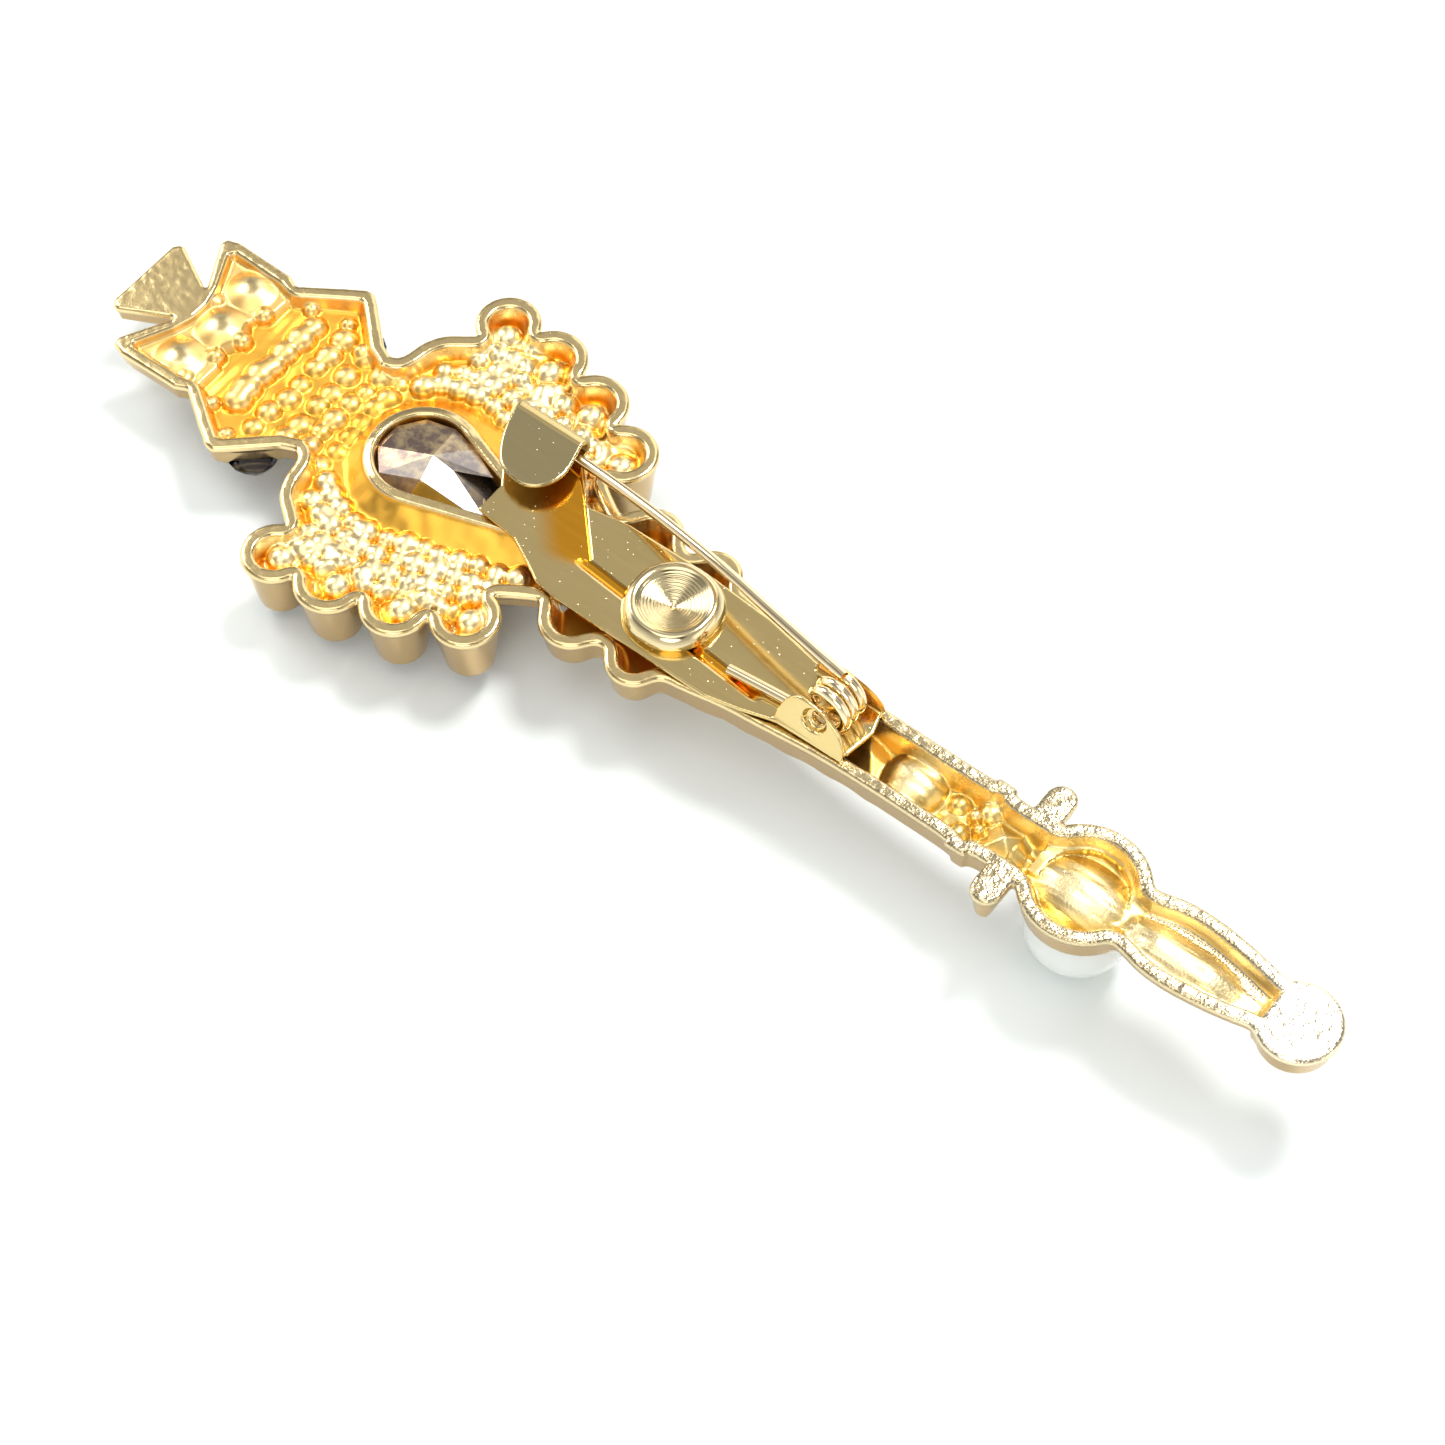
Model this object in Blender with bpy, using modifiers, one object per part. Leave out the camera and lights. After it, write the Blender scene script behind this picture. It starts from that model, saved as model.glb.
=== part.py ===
"""Hat pin with a crowned sceptre, lying face down on its stones and its pearl.

A hollow-backed casting carries the set stones on its front. A stamped pin plate
is riveted across the back, and holds a coiled spring pin and its catch.

Every shape is drawn in the casting's own plane: u runs from the cross at the
head to the disc at the tail, v runs across, and z = 0 is the rim of the hollow
back. All three are in millimetres. The RESTING empty lays the pin on a table.
"""
import math

import bmesh
import bpy
from mathutils import Matrix, Vector

MM = 0.001
GAP = 0.3                      # air between pieces that touch

# Driving dimensions, in millimetres
HEAD_END = -0.9
TAIL_END = 105.17
MIDDLE = (HEAD_END + TAIL_END) / 2
RIM_HEIGHT = 7.824             # the rim plane's height above the table at the middle
TAIL_LIFT = math.radians(2.634)  # the pearl is the deepest piece and lifts the tail

PLATE_TOP = 0.6                # the stamped plate lies on the rims
SHEET = 0.35                   # its thickness
WIRE = 0.4                     # radius of the spring wire
COIL_U, COIL_Z = 64.2, 2.58    # axis of the coil, along v
COIL_RADIUS = 1.5
COIL_PITCH = 0.9
FIXED_TURN_V = -0.9            # the flat turn at the tail end of the wire
STEM_V = 1.1                   # where the last turn leaves the coil as the stem

LOBE_DEPTH = 5.3
LOBES = [(24.0, 13.0, 2.5), (28.7, 12.4, 2.7), (33.7, 11.1, 2.65), (38.3, 8.9, 2.6)]
CROSS_STONES = [(6.4, 4.0), (6.9, 0.0), (6.4, -4.0)]
CUP_U, CUP_RADIUS = 85.1, 4.65
PEARL_RADIUS, PEARL_DEPTH = 3.85, 5.5
RIVET_U, RIVET_V = 50.0, 0.0
STUD_SIZE = 7.2

PEAR_CENTRE = 26.7             # centre of the round end of the drop-shaped opening
PEAR_RADIUS = 3.5
PEAR_TIP = 38.0


def at(u, v, z):
    """A point of the casting's plane, in metres."""
    return Vector(((u - MIDDLE) * MM, v * MM, z * MM))


def collection(name):
    made = bpy.data.collections.new(name)
    bpy.context.scene.collection.children.link(made)
    return made


def material(name, colour, roughness, metallic=0.0, transmission=0.0):
    made = bpy.data.materials.new(name)
    made.use_nodes = True
    shader = made.node_tree.nodes["Principled BSDF"]
    shader.inputs["Base Color"].default_value = (*colour, 1.0)
    shader.inputs["Roughness"].default_value = roughness
    shader.inputs["Metallic"].default_value = metallic
    shader.inputs["Transmission Weight"].default_value = transmission
    return made


for leftover in list(bpy.data.objects):
    bpy.data.objects.remove(leftover, do_unlink=True)

HAT_PIN = collection("hat_pin")
BODIES = collection("casting_bodies")
HOLLOWS = collection("casting_hollows")
RAISED = collection("casting_raised_work")
OPENINGS = collection("casting_openings_and_seats")
STAMPING = collection("stamping_folds")
STAMPING_HOLES = collection("stamping_holes")

GOLD = material("cast_gold", (0.83, 0.60, 0.24), 0.28, metallic=1.0)
PLATE_GOLD = material("stamped_gold", (0.66, 0.55, 0.30), 0.18, metallic=1.0)
WIRE_GOLD = material("spring_wire", (0.85, 0.72, 0.42), 0.12, metallic=1.0)
CLEAR = material("clear_crystal", (0.95, 0.96, 0.98), 0.02, transmission=1.0)
SMOKY = material("smoky_crystal", (0.06, 0.06, 0.07), 0.05, transmission=0.6)
PEARL = material("pearl", (0.93, 0.92, 0.90), 0.25)

RESTING = bpy.data.objects.new("resting_pose", None)
RESTING.location = (0.0, 0.0, RIM_HEIGHT * MM)
RESTING.rotation_euler = (0.0, -TAIL_LIFT, 0.0)
bpy.context.scene.collection.objects.link(RESTING)


def place(piece, owner, paint=None, origin=(MIDDLE, 0.0, 0.0)):
    """Put a piece under the resting pose; its mesh is drawn about its origin."""
    for old in list(piece.users_collection):
        old.objects.unlink(piece)
    owner.objects.link(piece)
    piece.parent = RESTING
    piece.location = at(*origin)
    if paint:
        piece.data.materials.append(paint)
    if owner is not HAT_PIN:
        piece.hide_render = True
        piece.display_type = "WIRE"
    return piece


def piece_from(bm, name, owner, paint=None, origin=(MIDDLE, 0.0, 0.0), smooth=True):
    """Make an object from a bmesh that is drawn in metres in the casting's plane."""
    bmesh.ops.recalc_face_normals(bm, faces=bm.faces)
    bmesh.ops.translate(bm, vec=-at(*origin), verts=bm.verts)
    mesh = bpy.data.meshes.new(name)
    bm.to_mesh(mesh)
    bm.free()
    if smooth:
        mesh.shade_smooth()
        mesh.set_sharp_from_angle(angle=math.radians(35))
    return place(bpy.data.objects.new(name, mesh), owner, paint, origin)


def as_bmesh(curve, matrix):
    """A filled curve as a closed bmesh, moved by matrix."""
    holder = bpy.data.objects.new("outline", curve)
    bpy.context.scene.collection.objects.link(holder)
    evaluated = holder.evaluated_get(bpy.context.evaluated_depsgraph_get())
    mesh = bpy.data.meshes.new_from_object(evaluated)
    bpy.data.objects.remove(holder, do_unlink=True)
    bpy.data.curves.remove(curve)
    bm = bmesh.new()
    bm.from_mesh(mesh)
    bpy.data.meshes.remove(mesh)
    bmesh.ops.remove_doubles(bm, verts=bm.verts, dist=1e-6)
    bmesh.ops.transform(bm, matrix=matrix, verts=bm.verts)
    return bm


def outline_curve(points, thickness):
    """A flat outline in metres, filled on both sides and given its thickness."""
    curve = bpy.data.curves.new("outline", "CURVE")
    curve.dimensions = "2D"
    curve.fill_mode = "BOTH"
    curve.extrude = thickness * MM / 2
    spline = curve.splines.new("POLY")
    spline.points.add(len(points) - 1)
    for target, (x, y) in zip(spline.points, points):
        target.co = (x * MM, y * MM, 0.0, 1.0)
    spline.use_cyclic_u = True
    return curve


def slab(name, outline, low, high, owner, paint=None):
    """A plate with the outline in (u, v), between the heights low and high."""
    points = [(u - MIDDLE, v) for u, v in outline]
    lift = Matrix.Translation((0.0, 0.0, (low + high) / 2 * MM))
    bm = as_bmesh(outline_curve(points, high - low), lift)
    return piece_from(bm, name, owner, paint)


def cone(name, u, v, low, high, low_radius, high_radius, owner, steps=16):
    """A round tapered post or cutter standing along z."""
    bm = bmesh.new()
    bmesh.ops.create_cone(bm, cap_ends=True, segments=steps, radius1=low_radius * MM,
                          radius2=high_radius * MM, depth=(high - low) * MM)
    bmesh.ops.translate(bm, vec=at(u, v, (low + high) / 2), verts=bm.verts)
    return piece_from(bm, name, owner)


def turned(name, profile, u, v, owner, paint=None, steps=12):
    """A shape turned about z; its profile of (radius, z) runs from top to bottom."""
    mesh = bpy.data.meshes.new(name)
    points = [(radius * MM, 0.0, z * MM) for radius, z in profile]
    mesh.from_pydata(points, [(n, n + 1) for n in range(len(points) - 1)], [])
    piece = place(bpy.data.objects.new(name, mesh), owner, paint, (u, v, 0.0))
    screw = piece.modifiers.new("turn", "SCREW")
    screw.steps = steps
    screw.render_steps = steps
    screw.use_merge_vertices = True
    screw.merge_threshold = 1e-6
    screw.use_smooth_shade = False
    return piece


def wire(name, points, origin, paint):
    """A round wire through points of the casting's plane."""
    curve = bpy.data.curves.new(name, "CURVE")
    curve.dimensions = "3D"
    curve.bevel_depth = WIRE * MM
    curve.bevel_resolution = 2
    curve.use_fill_caps = True
    spline = curve.splines.new("POLY")
    spline.points.add(len(points) - 1)
    for target, point in zip(spline.points, points):
        target.co = (*(at(*point) - at(*origin)), 1.0)
    return place(bpy.data.objects.new(name, curve), HAT_PIN, paint, origin)


def combine(piece, name, operation, tools):
    cut = piece.modifiers.new(name, "BOOLEAN")
    cut.operation = operation
    cut.operand_type = "COLLECTION"
    cut.collection = tools
    cut.solver = "EXACT"
    return cut


def mirrored(half):
    """A whole outline from its half on the +v side, drawn from head to tail."""
    other_side = [(u, -v) for u, v in reversed(half) if v > 0.0]
    return list(half) + other_side


def arc(u, v, radius, start, end, steps):
    """Points on an arc; the angles are in degrees from +u towards +v."""
    angles = [math.radians(start + (end - start) * n / steps) for n in range(steps + 1)]
    return [(u + radius * math.cos(a), v + radius * math.sin(a)) for a in angles]


def drop(margin, steps=20):
    """The drop-shaped opening's outline, grown by a margin all round."""
    reach = PEAR_TIP - PEAR_CENTRE
    half_angle = math.degrees(math.asin(PEAR_RADIUS / reach))
    tip = PEAR_TIP + margin / math.sin(math.radians(half_angle))
    start = 90.0 - half_angle
    return arc(PEAR_CENTRE, 0.0, PEAR_RADIUS + margin, start, 360.0 - start, steps) + [(tip, 0.0)]


def drop_row(margin, pitch):
    """Places along the +v side of the drop outline: three on its arc, three on its flank."""
    slope = math.asin(PEAR_RADIUS / (PEAR_TIP - PEAR_CENTRE))
    shoulder = math.degrees(math.pi / 2 - slope)
    places = arc(PEAR_CENTRE, 0.0, PEAR_RADIUS + margin, shoulder + 70.0, shoulder, 2)
    u, v = places[-1]
    for step in range(1, 4):
        places.append((u + step * pitch * math.cos(slope), v - step * pitch * math.sin(slope)))
    return places


def both_sides(places):
    """Each (u, v, ...) and its mirror image, with the word for its side."""
    found = []
    for number, (u, v, *rest) in enumerate(places, start=1):
        found.append((f"left_{number}", u, v, *rest))
        found.append((f"right_{number}", u, -v, *rest))
    return found


# --- the casting -----------------------------------------------------------------

FLOOR = -1.2                    # the hollow back's floor
FACE = -2.0                     # the front face below it
STAFF_FLOOR, STAFF_FACE = -2.0, -3.0
ABOVE = 1.0                     # how far a cutter stands out of what it cuts

CROSS_ARMS = mirrored([(3.8, 2.0), (1.8, 5.6), (1.95, 6.25), (3.0, 6.6), (8.2, 6.5), (9.6, 5.8)])
CROSS_TOP = mirrored([(-0.9, 3.2), (-0.55, 3.65), (-0.1, 3.75), (3.6, 1.85), (6.0, 1.85)])
CROWN = mirrored([(8.6, 5.7), (12.0, 8.0), (13.6, 9.0), (14.3, 9.05), (15.0, 8.5),
                  (18.0, 5.8), (19.2, 5.25), (21.0, 5.2)])
WINGS = mirrored([(19.2, 5.25), (19.8, 6.0), (20.2, 7.8), (21.0, 9.2), (22.8, 10.6), (25.0, 12.5),
                  (30.0, 11.8), (35.0, 9.8), (38.4, 7.5), (38.8, 6.3), (42.3, 4.2), (43.5, 4.2)])
STAFF = mirrored([(41.5, 4.2), (43.0, 5.0), (52.0, 4.6), (57.0, 3.8), (60.0, 3.5), (66.0, 2.95),
                  (75.0, 2.9), (75.7, 3.2), (77.3, 3.2), (78.0, 2.75), (82.5, 2.75)])
PETAL = mirrored([(88.3, 2.4), (90.0, 2.75), (91.5, 3.1), (93.5, 3.2), (96.0, 2.95), (98.0, 2.6),
                  (99.8, 2.2), (101.0, 2.2)])

CROSS_HOLLOW = mirrored([(4.9, 0.7), (4.4, 2.4), (3.0, 5.2), (3.3, 5.65), (8.0, 5.55), (10.5, 4.9)])
CROWN_HOLLOW = mirrored([(9.0, 4.9), (12.5, 7.2), (13.8, 8.0), (14.2, 7.9), (17.4, 5.0),
                         (19.2, 4.25), (21.5, 4.2)])
WING_HOLLOW = mirrored([(19.3, 4.25), (20.6, 5.1), (21.2, 7.5), (22.0, 8.8), (24.0, 10.4), (27.0, 11.2),
                        (31.0, 10.3), (35.0, 8.6), (37.5, 7.0), (37.8, 5.7), (41.8, 3.3), (44.0, 3.3)])
STAFF_HOLLOW = mirrored([(42.5, 3.3), (50.0, 3.4), (56.0, 2.9), (60.0, 2.6), (66.0, 2.0), (75.2, 2.0),
                         (75.8, 2.25), (77.2, 2.25), (77.8, 1.9), (79.4, 2.4), (81.5, 2.4)])
PETAL_HOLLOW = mirrored([(88.0, 1.3), (90.0, 1.6), (92.0, 2.05), (95.0, 2.05), (98.0, 1.6),
                         (100.0, 1.2), (100.7, 0.6)])
BULGES = [(44.4, 4.4, 2.5), (50.0, 4.4, 2.2)]
NUB_U, NUB_V, NUB_RADIUS = 80.15, 4.35, 1.15
DISC_U, DISC_RADIUS = 102.1, 3.07


def casting_bodies():
    slab("cross_top_body", CROSS_TOP, -1.8, 0.0, BODIES)
    slab("crown_body", CROWN, -2.2, 0.0, BODIES)
    slab("wings_body", WINGS, FACE, 0.0, BODIES)
    slab("staff_body", STAFF, STAFF_FACE, 0.0, BODIES)
    slab("petal_body", PETAL, -1.2, 0.0, BODIES)
    for side, u, v, radius in both_sides(LOBES):
        cone(f"lobe_body_{side}", u, v, -LOBE_DEPTH, 0.0, 1.65, radius, BODIES)
    for side, u, v, radius in both_sides(BULGES):
        cone(f"bulge_body_{side}", u, v, FACE, 0.0, radius - 0.3, radius, BODIES)
    slab("cross_bar_body", arc(NUB_U, NUB_V, NUB_RADIUS, 0, 180, 8)
         + arc(NUB_U, -NUB_V, NUB_RADIUS, 180, 360, 8), -2.1, 0.0, BODIES)
    cone("pearl_cup_body", CUP_U, 0.0, -2.8, 0.0, 4.4, CUP_RADIUS, BODIES, steps=32)
    cone("end_disc_body", DISC_U, 0.0, -2.3, 0.0, 2.95, DISC_RADIUS, BODIES, steps=32)


def casting_hollows():
    slab("cross_hollow", CROSS_HOLLOW, FLOOR, ABOVE, HOLLOWS)
    slab("crown_hollow", CROWN_HOLLOW, FLOOR - 0.1, ABOVE, HOLLOWS)
    slab("wing_hollow", WING_HOLLOW, FLOOR, ABOVE, HOLLOWS)
    slab("staff_hollow", STAFF_HOLLOW, STAFF_FLOOR, ABOVE, HOLLOWS)
    slab("petal_hollow", PETAL_HOLLOW, -0.6, ABOVE, HOLLOWS)
    for side, u, v, radius in both_sides(LOBES):
        cone(f"lobe_hollow_{side}", u, v, -3.6, ABOVE, 0.8, radius - 0.7, HOLLOWS)
    for side, u, v, radius in both_sides(BULGES):
        cone(f"bulge_hollow_{side}", u, v, FLOOR, ABOVE, radius - 1.0, radius - 0.8, HOLLOWS)
    cone("cup_hollow", CUP_U, 0.0, -1.9, ABOVE, 3.7, 3.7, HOLLOWS, steps=32)


def casting_raised_work():
    """Work that stands on the hollow's floor, and the collar in front."""
    slab("opening_ring", drop(0.9), FACE, -0.3, RAISED)
    slab("crystal_collar", drop(1.95), -5.2, FLOOR - 0.3, RAISED)
    for number, (u, v) in enumerate(CROSS_STONES, start=1):
        cone(f"cross_dome_{number}", u, v, FLOOR - 0.2, -0.4, 1.6, 0.7, RAISED, steps=12)
    rise = PEARL_RADIUS + 0.9
    angles = [math.radians(n * 42 / 5) for n in range(6)]
    profile = [(rise * math.sin(a), rise * math.cos(a) - PEARL_DEPTH) for a in angles]
    turned("pearl_dome", profile + [(3.18, -2.3), (0.0, -2.3)], CUP_U, 0.0, RAISED, steps=24)
    slab("barrel_rib", mirrored([(70.6, 2.1), (73.4, 2.1)]), STAFF_FLOOR - 0.2, -1.1, RAISED)


def casting_openings_and_seats():
    """The drop-shaped opening, and the seats that the stones' points sink into."""
    slab("drop_opening", drop(0.0), -4.0, ABOVE, OPENINGS)
    slab("collar_bore", drop(1.45), -5.2 - ABOVE, FACE - 0.35, OPENINGS)
    for side, u, v, radius in both_sides(LOBES):
        cone(f"lobe_seat_{side}", u, v, -LOBE_DEPTH - 0.2, -4.3, 1.35, 0.2, OPENINGS, steps=12)
    for number, (u, v) in enumerate(CROSS_STONES, start=1):
        cone(f"cross_seat_{number}", u, v, FACE - 0.2, -1.0, 1.5, 0.2, OPENINGS, steps=12)
    cup = PEARL_RADIUS + GAP
    bm = bmesh.new()
    bmesh.ops.create_uvsphere(bm, u_segments=24, v_segments=14, radius=cup * MM)
    bmesh.ops.translate(bm, vec=at(CUP_U, 0.0, -PEARL_DEPTH), verts=bm.verts)
    piece_from(bm, "pearl_seat", OPENINGS)


def frame_casting():
    casting_bodies()
    casting_hollows()
    casting_raised_work()
    casting_openings_and_seats()
    casting = slab("frame_casting", CROSS_ARMS, FACE, 0.0, HAT_PIN, GOLD)
    combine(casting, "bodies", "UNION", BODIES)
    combine(casting, "hollows", "DIFFERENCE", HOLLOWS)
    combine(casting, "raised_work", "UNION", RAISED)
    combine(casting, "openings", "DIFFERENCE", OPENINGS)
    return casting


# --- stones and pearl --------------------------------------------------------------

def stone(name, u, v, face, radius, height, paint=CLEAR, point=0.0, steps=10):
    """A round cut stone in front of the casting's face, its point in the seat."""
    girdle = face - GAP
    profile = [(0.0, girdle + point), (radius, girdle), (radius, girdle - 0.15),
               (radius * 0.62, girdle - height), (0.0, girdle - height)]
    return turned(name, profile, u, v, HAT_PIN, paint, steps)


def centre_crystal():
    """The drop-shaped crystal: a table facet in front, a point into the opening."""
    levels = [(1.15, -4.35, 1.0), (1.15, -4.75, 1.0), (1.15, -6.45, 0.62)]
    count = len(drop(0.0, 16))
    centre = (PEAR_CENTRE + 1.6, 0.0)
    bm = bmesh.new()
    rings = []
    for margin, z, scale in levels:
        outline = drop(margin, 16)
        scaled = [(centre[0] + (u - centre[0]) * scale, v * scale) for u, v in outline]
        rings.append([bm.verts.new(at(u, v, z)) for u, v in scaled])
    for upper, lower in zip(rings, rings[1:]):
        for n in range(count):
            after = (n + 1) % count
            bm.faces.new((upper[n], upper[after], lower[after], lower[n]))
    bm.faces.new(rings[-1])
    culet = bm.verts.new(at(*centre, -1.5))
    for n in range(count):
        bm.faces.new((rings[0][(n + 1) % count], rings[0][n], culet))
    return piece_from(bm, "centre_crystal", HAT_PIN, CLEAR, smooth=False)


def pearl():
    bm = bmesh.new()
    bmesh.ops.create_uvsphere(bm, u_segments=24, v_segments=14, radius=PEARL_RADIUS * MM)
    bmesh.ops.translate(bm, vec=at(CUP_U, 0.0, -PEARL_DEPTH), verts=bm.verts)
    return piece_from(bm, "pearl", HAT_PIN, PEARL)


def set_stones():
    for side, u, v, radius in both_sides(LOBES):
        stone(f"lobe_stone_{side}", u, v, -LOBE_DEPTH, 1.3, 0.9, point=0.6)
    for number, (u, v) in enumerate(CROSS_STONES, start=1):
        stone(f"cross_stone_{number}", u, v, FACE, 1.5, 1.1, point=0.6)
    for side, u, v in both_sides([(15.4, 6.2)]):
        stone(f"shoulder_stone_{side[:-2]}", u, v, -2.2, 2.0, 1.5, SMOKY)
    for number in range(7):
        stone(f"crown_stone_{number + 1}", 12.0, 1.5 * (number - 3), -2.2, 0.6, 0.6, steps=8)
    for number in range(5):
        stone(f"crown_band_stone_{number + 1}", 14.8, 1.5 * (number - 2), -2.2, 0.6, 0.6, steps=8)
    for side, u, v, radius in both_sides(BULGES):
        stone(f"bulge_stone_{side}", u, v, STAFF_FACE, 1.2, 0.9)
    for number in range(4):
        stone(f"staff_stone_{number + 1}", 55.4 + 3.8 * number, 0.0, STAFF_FACE, 1.3, 0.9)
    for number in range(3):
        stone(f"collar_stone_{number + 1}", 76.1, 1.5 * (number - 1), STAFF_FACE, 0.6, 0.6, steps=8)
    stone("square_stone", 78.8, 0.0, STAFF_FACE, 1.3, 0.9, steps=4)
    slab("baguette_stone", mirrored([(71.0, 1.9), (73.0, 1.9)]),
         STAFF_FACE - GAP - 0.8, STAFF_FACE - GAP, HAT_PIN, CLEAR)
    for number, (u, v) in enumerate(drop_row(3.0, 2.7), start=1):
        stone(f"wing_stone_left_{number}", u, v, FACE, 0.7, 0.65, steps=8)
        stone(f"wing_stone_right_{number}", u, -v, FACE, 0.7, 0.65, steps=8)


# --- the stamped pin plate and its rivet -------------------------------------------

PLATE = [(33.4, -1.6), (37.0, -2.0), (39.0, -3.0), (40.6, -3.9), (42.6, -4.2), (56.0, -4.2),
         (58.6, -3.6), (61.2, -2.8), (66.9, -2.55), (66.9, 2.55), (60.5, 2.75), (56.0, 3.6),
         (50.0, 4.0), (43.0, 3.9), (39.4, 3.3), (37.4, 5.8), (36.6, 6.5), (30.6, 6.5),
         (31.2, 4.0), (33.4, 0.9)]
CATCH_HEAD, CATCH_TAIL = 30.5, 36.6
CATCH_V, CATCH_RADIUS = 6.35, 0.83     # middle of the catch's fold
TONGUE = [(30.5, 6.5), (31.3, 3.9), (32.6, 1.9), (34.0, 1.2), (35.6, 1.2), (36.8, 2.2),
          (37.2, 3.9), (36.6, 6.5)]
EAR_OUTLINE = [(61.2, -0.2), (61.2, 2.3)] + arc(62.2, 0.0, 2.75, 100, 80, 2) + [
    (64.3, 2.25), (65.6, 1.45), (66.5, 0.5), (66.7, -0.2)]


def across(v, z, lean=0.0):
    """Turns an outline drawn in (u, z) to stand across v, leaning towards +v."""
    stand = Matrix.Rotation(math.radians(90.0 - lean), 4, "X")
    return Matrix.Translation((0.0, v * MM, z * MM)) @ stand


def ear(name, v, lean):
    points = [(u - MIDDLE, z) for u, z in EAR_OUTLINE]
    bm = as_bmesh(outline_curve(points, SHEET), across(v, PLATE_TOP, lean))
    return piece_from(bm, name, STAMPING)


def dimple(name, start, end, radius, owner):
    """A round boss or hole along v, on the coil's axis."""
    bm = bmesh.new()
    bmesh.ops.create_cone(bm, cap_ends=True, segments=12, radius1=radius * MM,
                          radius2=radius * MM, depth=(end - start) * MM)
    bmesh.ops.rotate(bm, matrix=Matrix.Rotation(math.radians(90), 3, "X"), verts=bm.verts)
    bmesh.ops.translate(bm, vec=at(COIL_U, (start + end) / 2, COIL_Z), verts=bm.verts)
    return piece_from(bm, name, owner)


def catch_fold():
    """The half-round fold at the end of the catch arm, drawn in (v, z)."""
    outer, inner = CATCH_RADIUS + SHEET / 2, CATCH_RADIUS - SHEET / 2
    middle = PLATE_TOP - SHEET / 2 + CATCH_RADIUS
    profile = [(CATCH_V - 0.3, middle - outer)]
    profile += arc(CATCH_V, middle, outer, -90, 90, 8)
    profile += [(CATCH_V - 0.3, middle + outer), (CATCH_V - 0.3, middle + inner)]
    profile += arc(CATCH_V, middle, inner, 90, -90, 8)
    profile += [(CATCH_V - 0.3, middle - inner)]
    stand = Matrix(((0, 0, 1, 0), (1, 0, 0, 0), (0, 1, 0, 0), (0, 0, 0, 1)))
    along = Matrix.Translation(at((CATCH_HEAD + CATCH_TAIL) / 2, 0.0, 0.0))
    bm = as_bmesh(outline_curve(profile, CATCH_TAIL - CATCH_HEAD), along @ stand)
    return piece_from(bm, "catch_fold", STAMPING)


def pin_plate():
    tongue_low = PLATE_TOP + 2 * CATCH_RADIUS - SHEET
    catch_fold()
    slab("catch_tongue", TONGUE, tongue_low, tongue_low + SHEET, STAMPING)
    ear("near_ear", -2.55, 20.0)
    ear("far_ear", 2.35, -10.0)
    dimple("near_dimple", -2.0, -0.7, 0.75, STAMPING)
    dimple("far_dimple", 1.3, 2.15, 0.75, STAMPING)
    dimple("near_hole", -3.0, -1.05, 0.5, STAMPING_HOLES)
    dimple("far_hole", 1.65, 3.2, 0.5, STAMPING_HOLES)
    plate = slab("pin_plate", PLATE, PLATE_TOP - SHEET, PLATE_TOP, HAT_PIN, PLATE_GOLD)
    combine(plate, "folds", "UNION", STAMPING)
    combine(plate, "holes", "DIFFERENCE", STAMPING_HOLES)
    return plate


def rivet_stud():
    """The pressed cap over the rivet, a rounded square with a turned dish."""
    half, corner = STUD_SIZE / 2, 2.3
    outline = []
    for quarter in range(4):
        turn = math.radians(90 * quarter)
        for u, v in arc(half - corner, half - corner, corner, 0, 90, 5):
            outline.append((RIVET_U + u * math.cos(turn) - v * math.sin(turn),
                            RIVET_V + u * math.sin(turn) + v * math.cos(turn)))
    low = PLATE_TOP + GAP
    stud = slab("rivet_stud", outline, low, low + 1.2, HAT_PIN, PLATE_GOLD)
    dish = collection("stud_dish")
    profile = [(0.0, low + 2.0), (2.9, low + 2.0), (2.5, low + 1.1), (1.6, low + 0.75),
               (0.7, low + 0.7), (0.0, low + 0.95)]
    turned("stud_dish_cutter", profile, RIVET_U, RIVET_V, dish, steps=24)
    edge = stud.modifiers.new("edge", "BEVEL")
    edge.width = 0.35 * MM
    edge.segments = 2
    edge.limit_method = "ANGLE"
    edge.angle_limit = math.radians(60)
    combine(stud, "dish", "DIFFERENCE", dish)
    return stud


# --- the spring pin ----------------------------------------------------------------

def around_coil(turn, v):
    """A point on the coil; the turn is in degrees from its bottom towards the tail."""
    angle = math.radians(turn)
    return (COIL_U + COIL_RADIUS * math.sin(angle), v, COIL_Z - COIL_RADIUS * math.cos(angle))


def spring_tail():
    """The fixed end of the wire, lying on the plate, with its first flat turn."""
    bottom = COIL_Z - COIL_RADIUS
    straight = [(56.2, -1.7, bottom), (60.4, -1.25, bottom), (62.6, FIXED_TURN_V - 0.03, bottom)]
    turn = [around_coil(20 * n, FIXED_TURN_V) for n in range(13)]
    return wire("spring_tail", straight + turn, (COIL_U, FIXED_TURN_V, COIL_Z), WIRE_GOLD)


def spring_coil():
    """The turns that wind up with the stem, clear of the fixed turn at every angle."""
    last = 520
    points = []
    for turn in range(90, last + 1, 20):
        points.append(around_coil(turn, STEM_V - COIL_PITCH * (540 - turn) / 360))
    return wire("spring_coil", points, (COIL_U, 0.0, COIL_Z), WIRE_GOLD)


def smooth_route(stops, steps):
    """A smooth curve through the stops, as a Catmull-Rom spline."""
    route = [Vector(stop) for stop in stops]
    ends = [2 * route[0] - route[1]] + route + [2 * route[-1] - route[-2]]
    found = []
    for before, start, end, after in zip(ends, ends[1:], ends[2:], ends[3:]):
        for n in range(steps):
            t = n / steps
            found.append(0.5 * (2 * start + (end - before) * t
                                + (2 * before - 5 * start + 4 * end - after) * t * t
                                + (3 * start - before - 3 * end + after) * t * t * t))
    return [tuple(point) for point in found + [route[-1]]]


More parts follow.
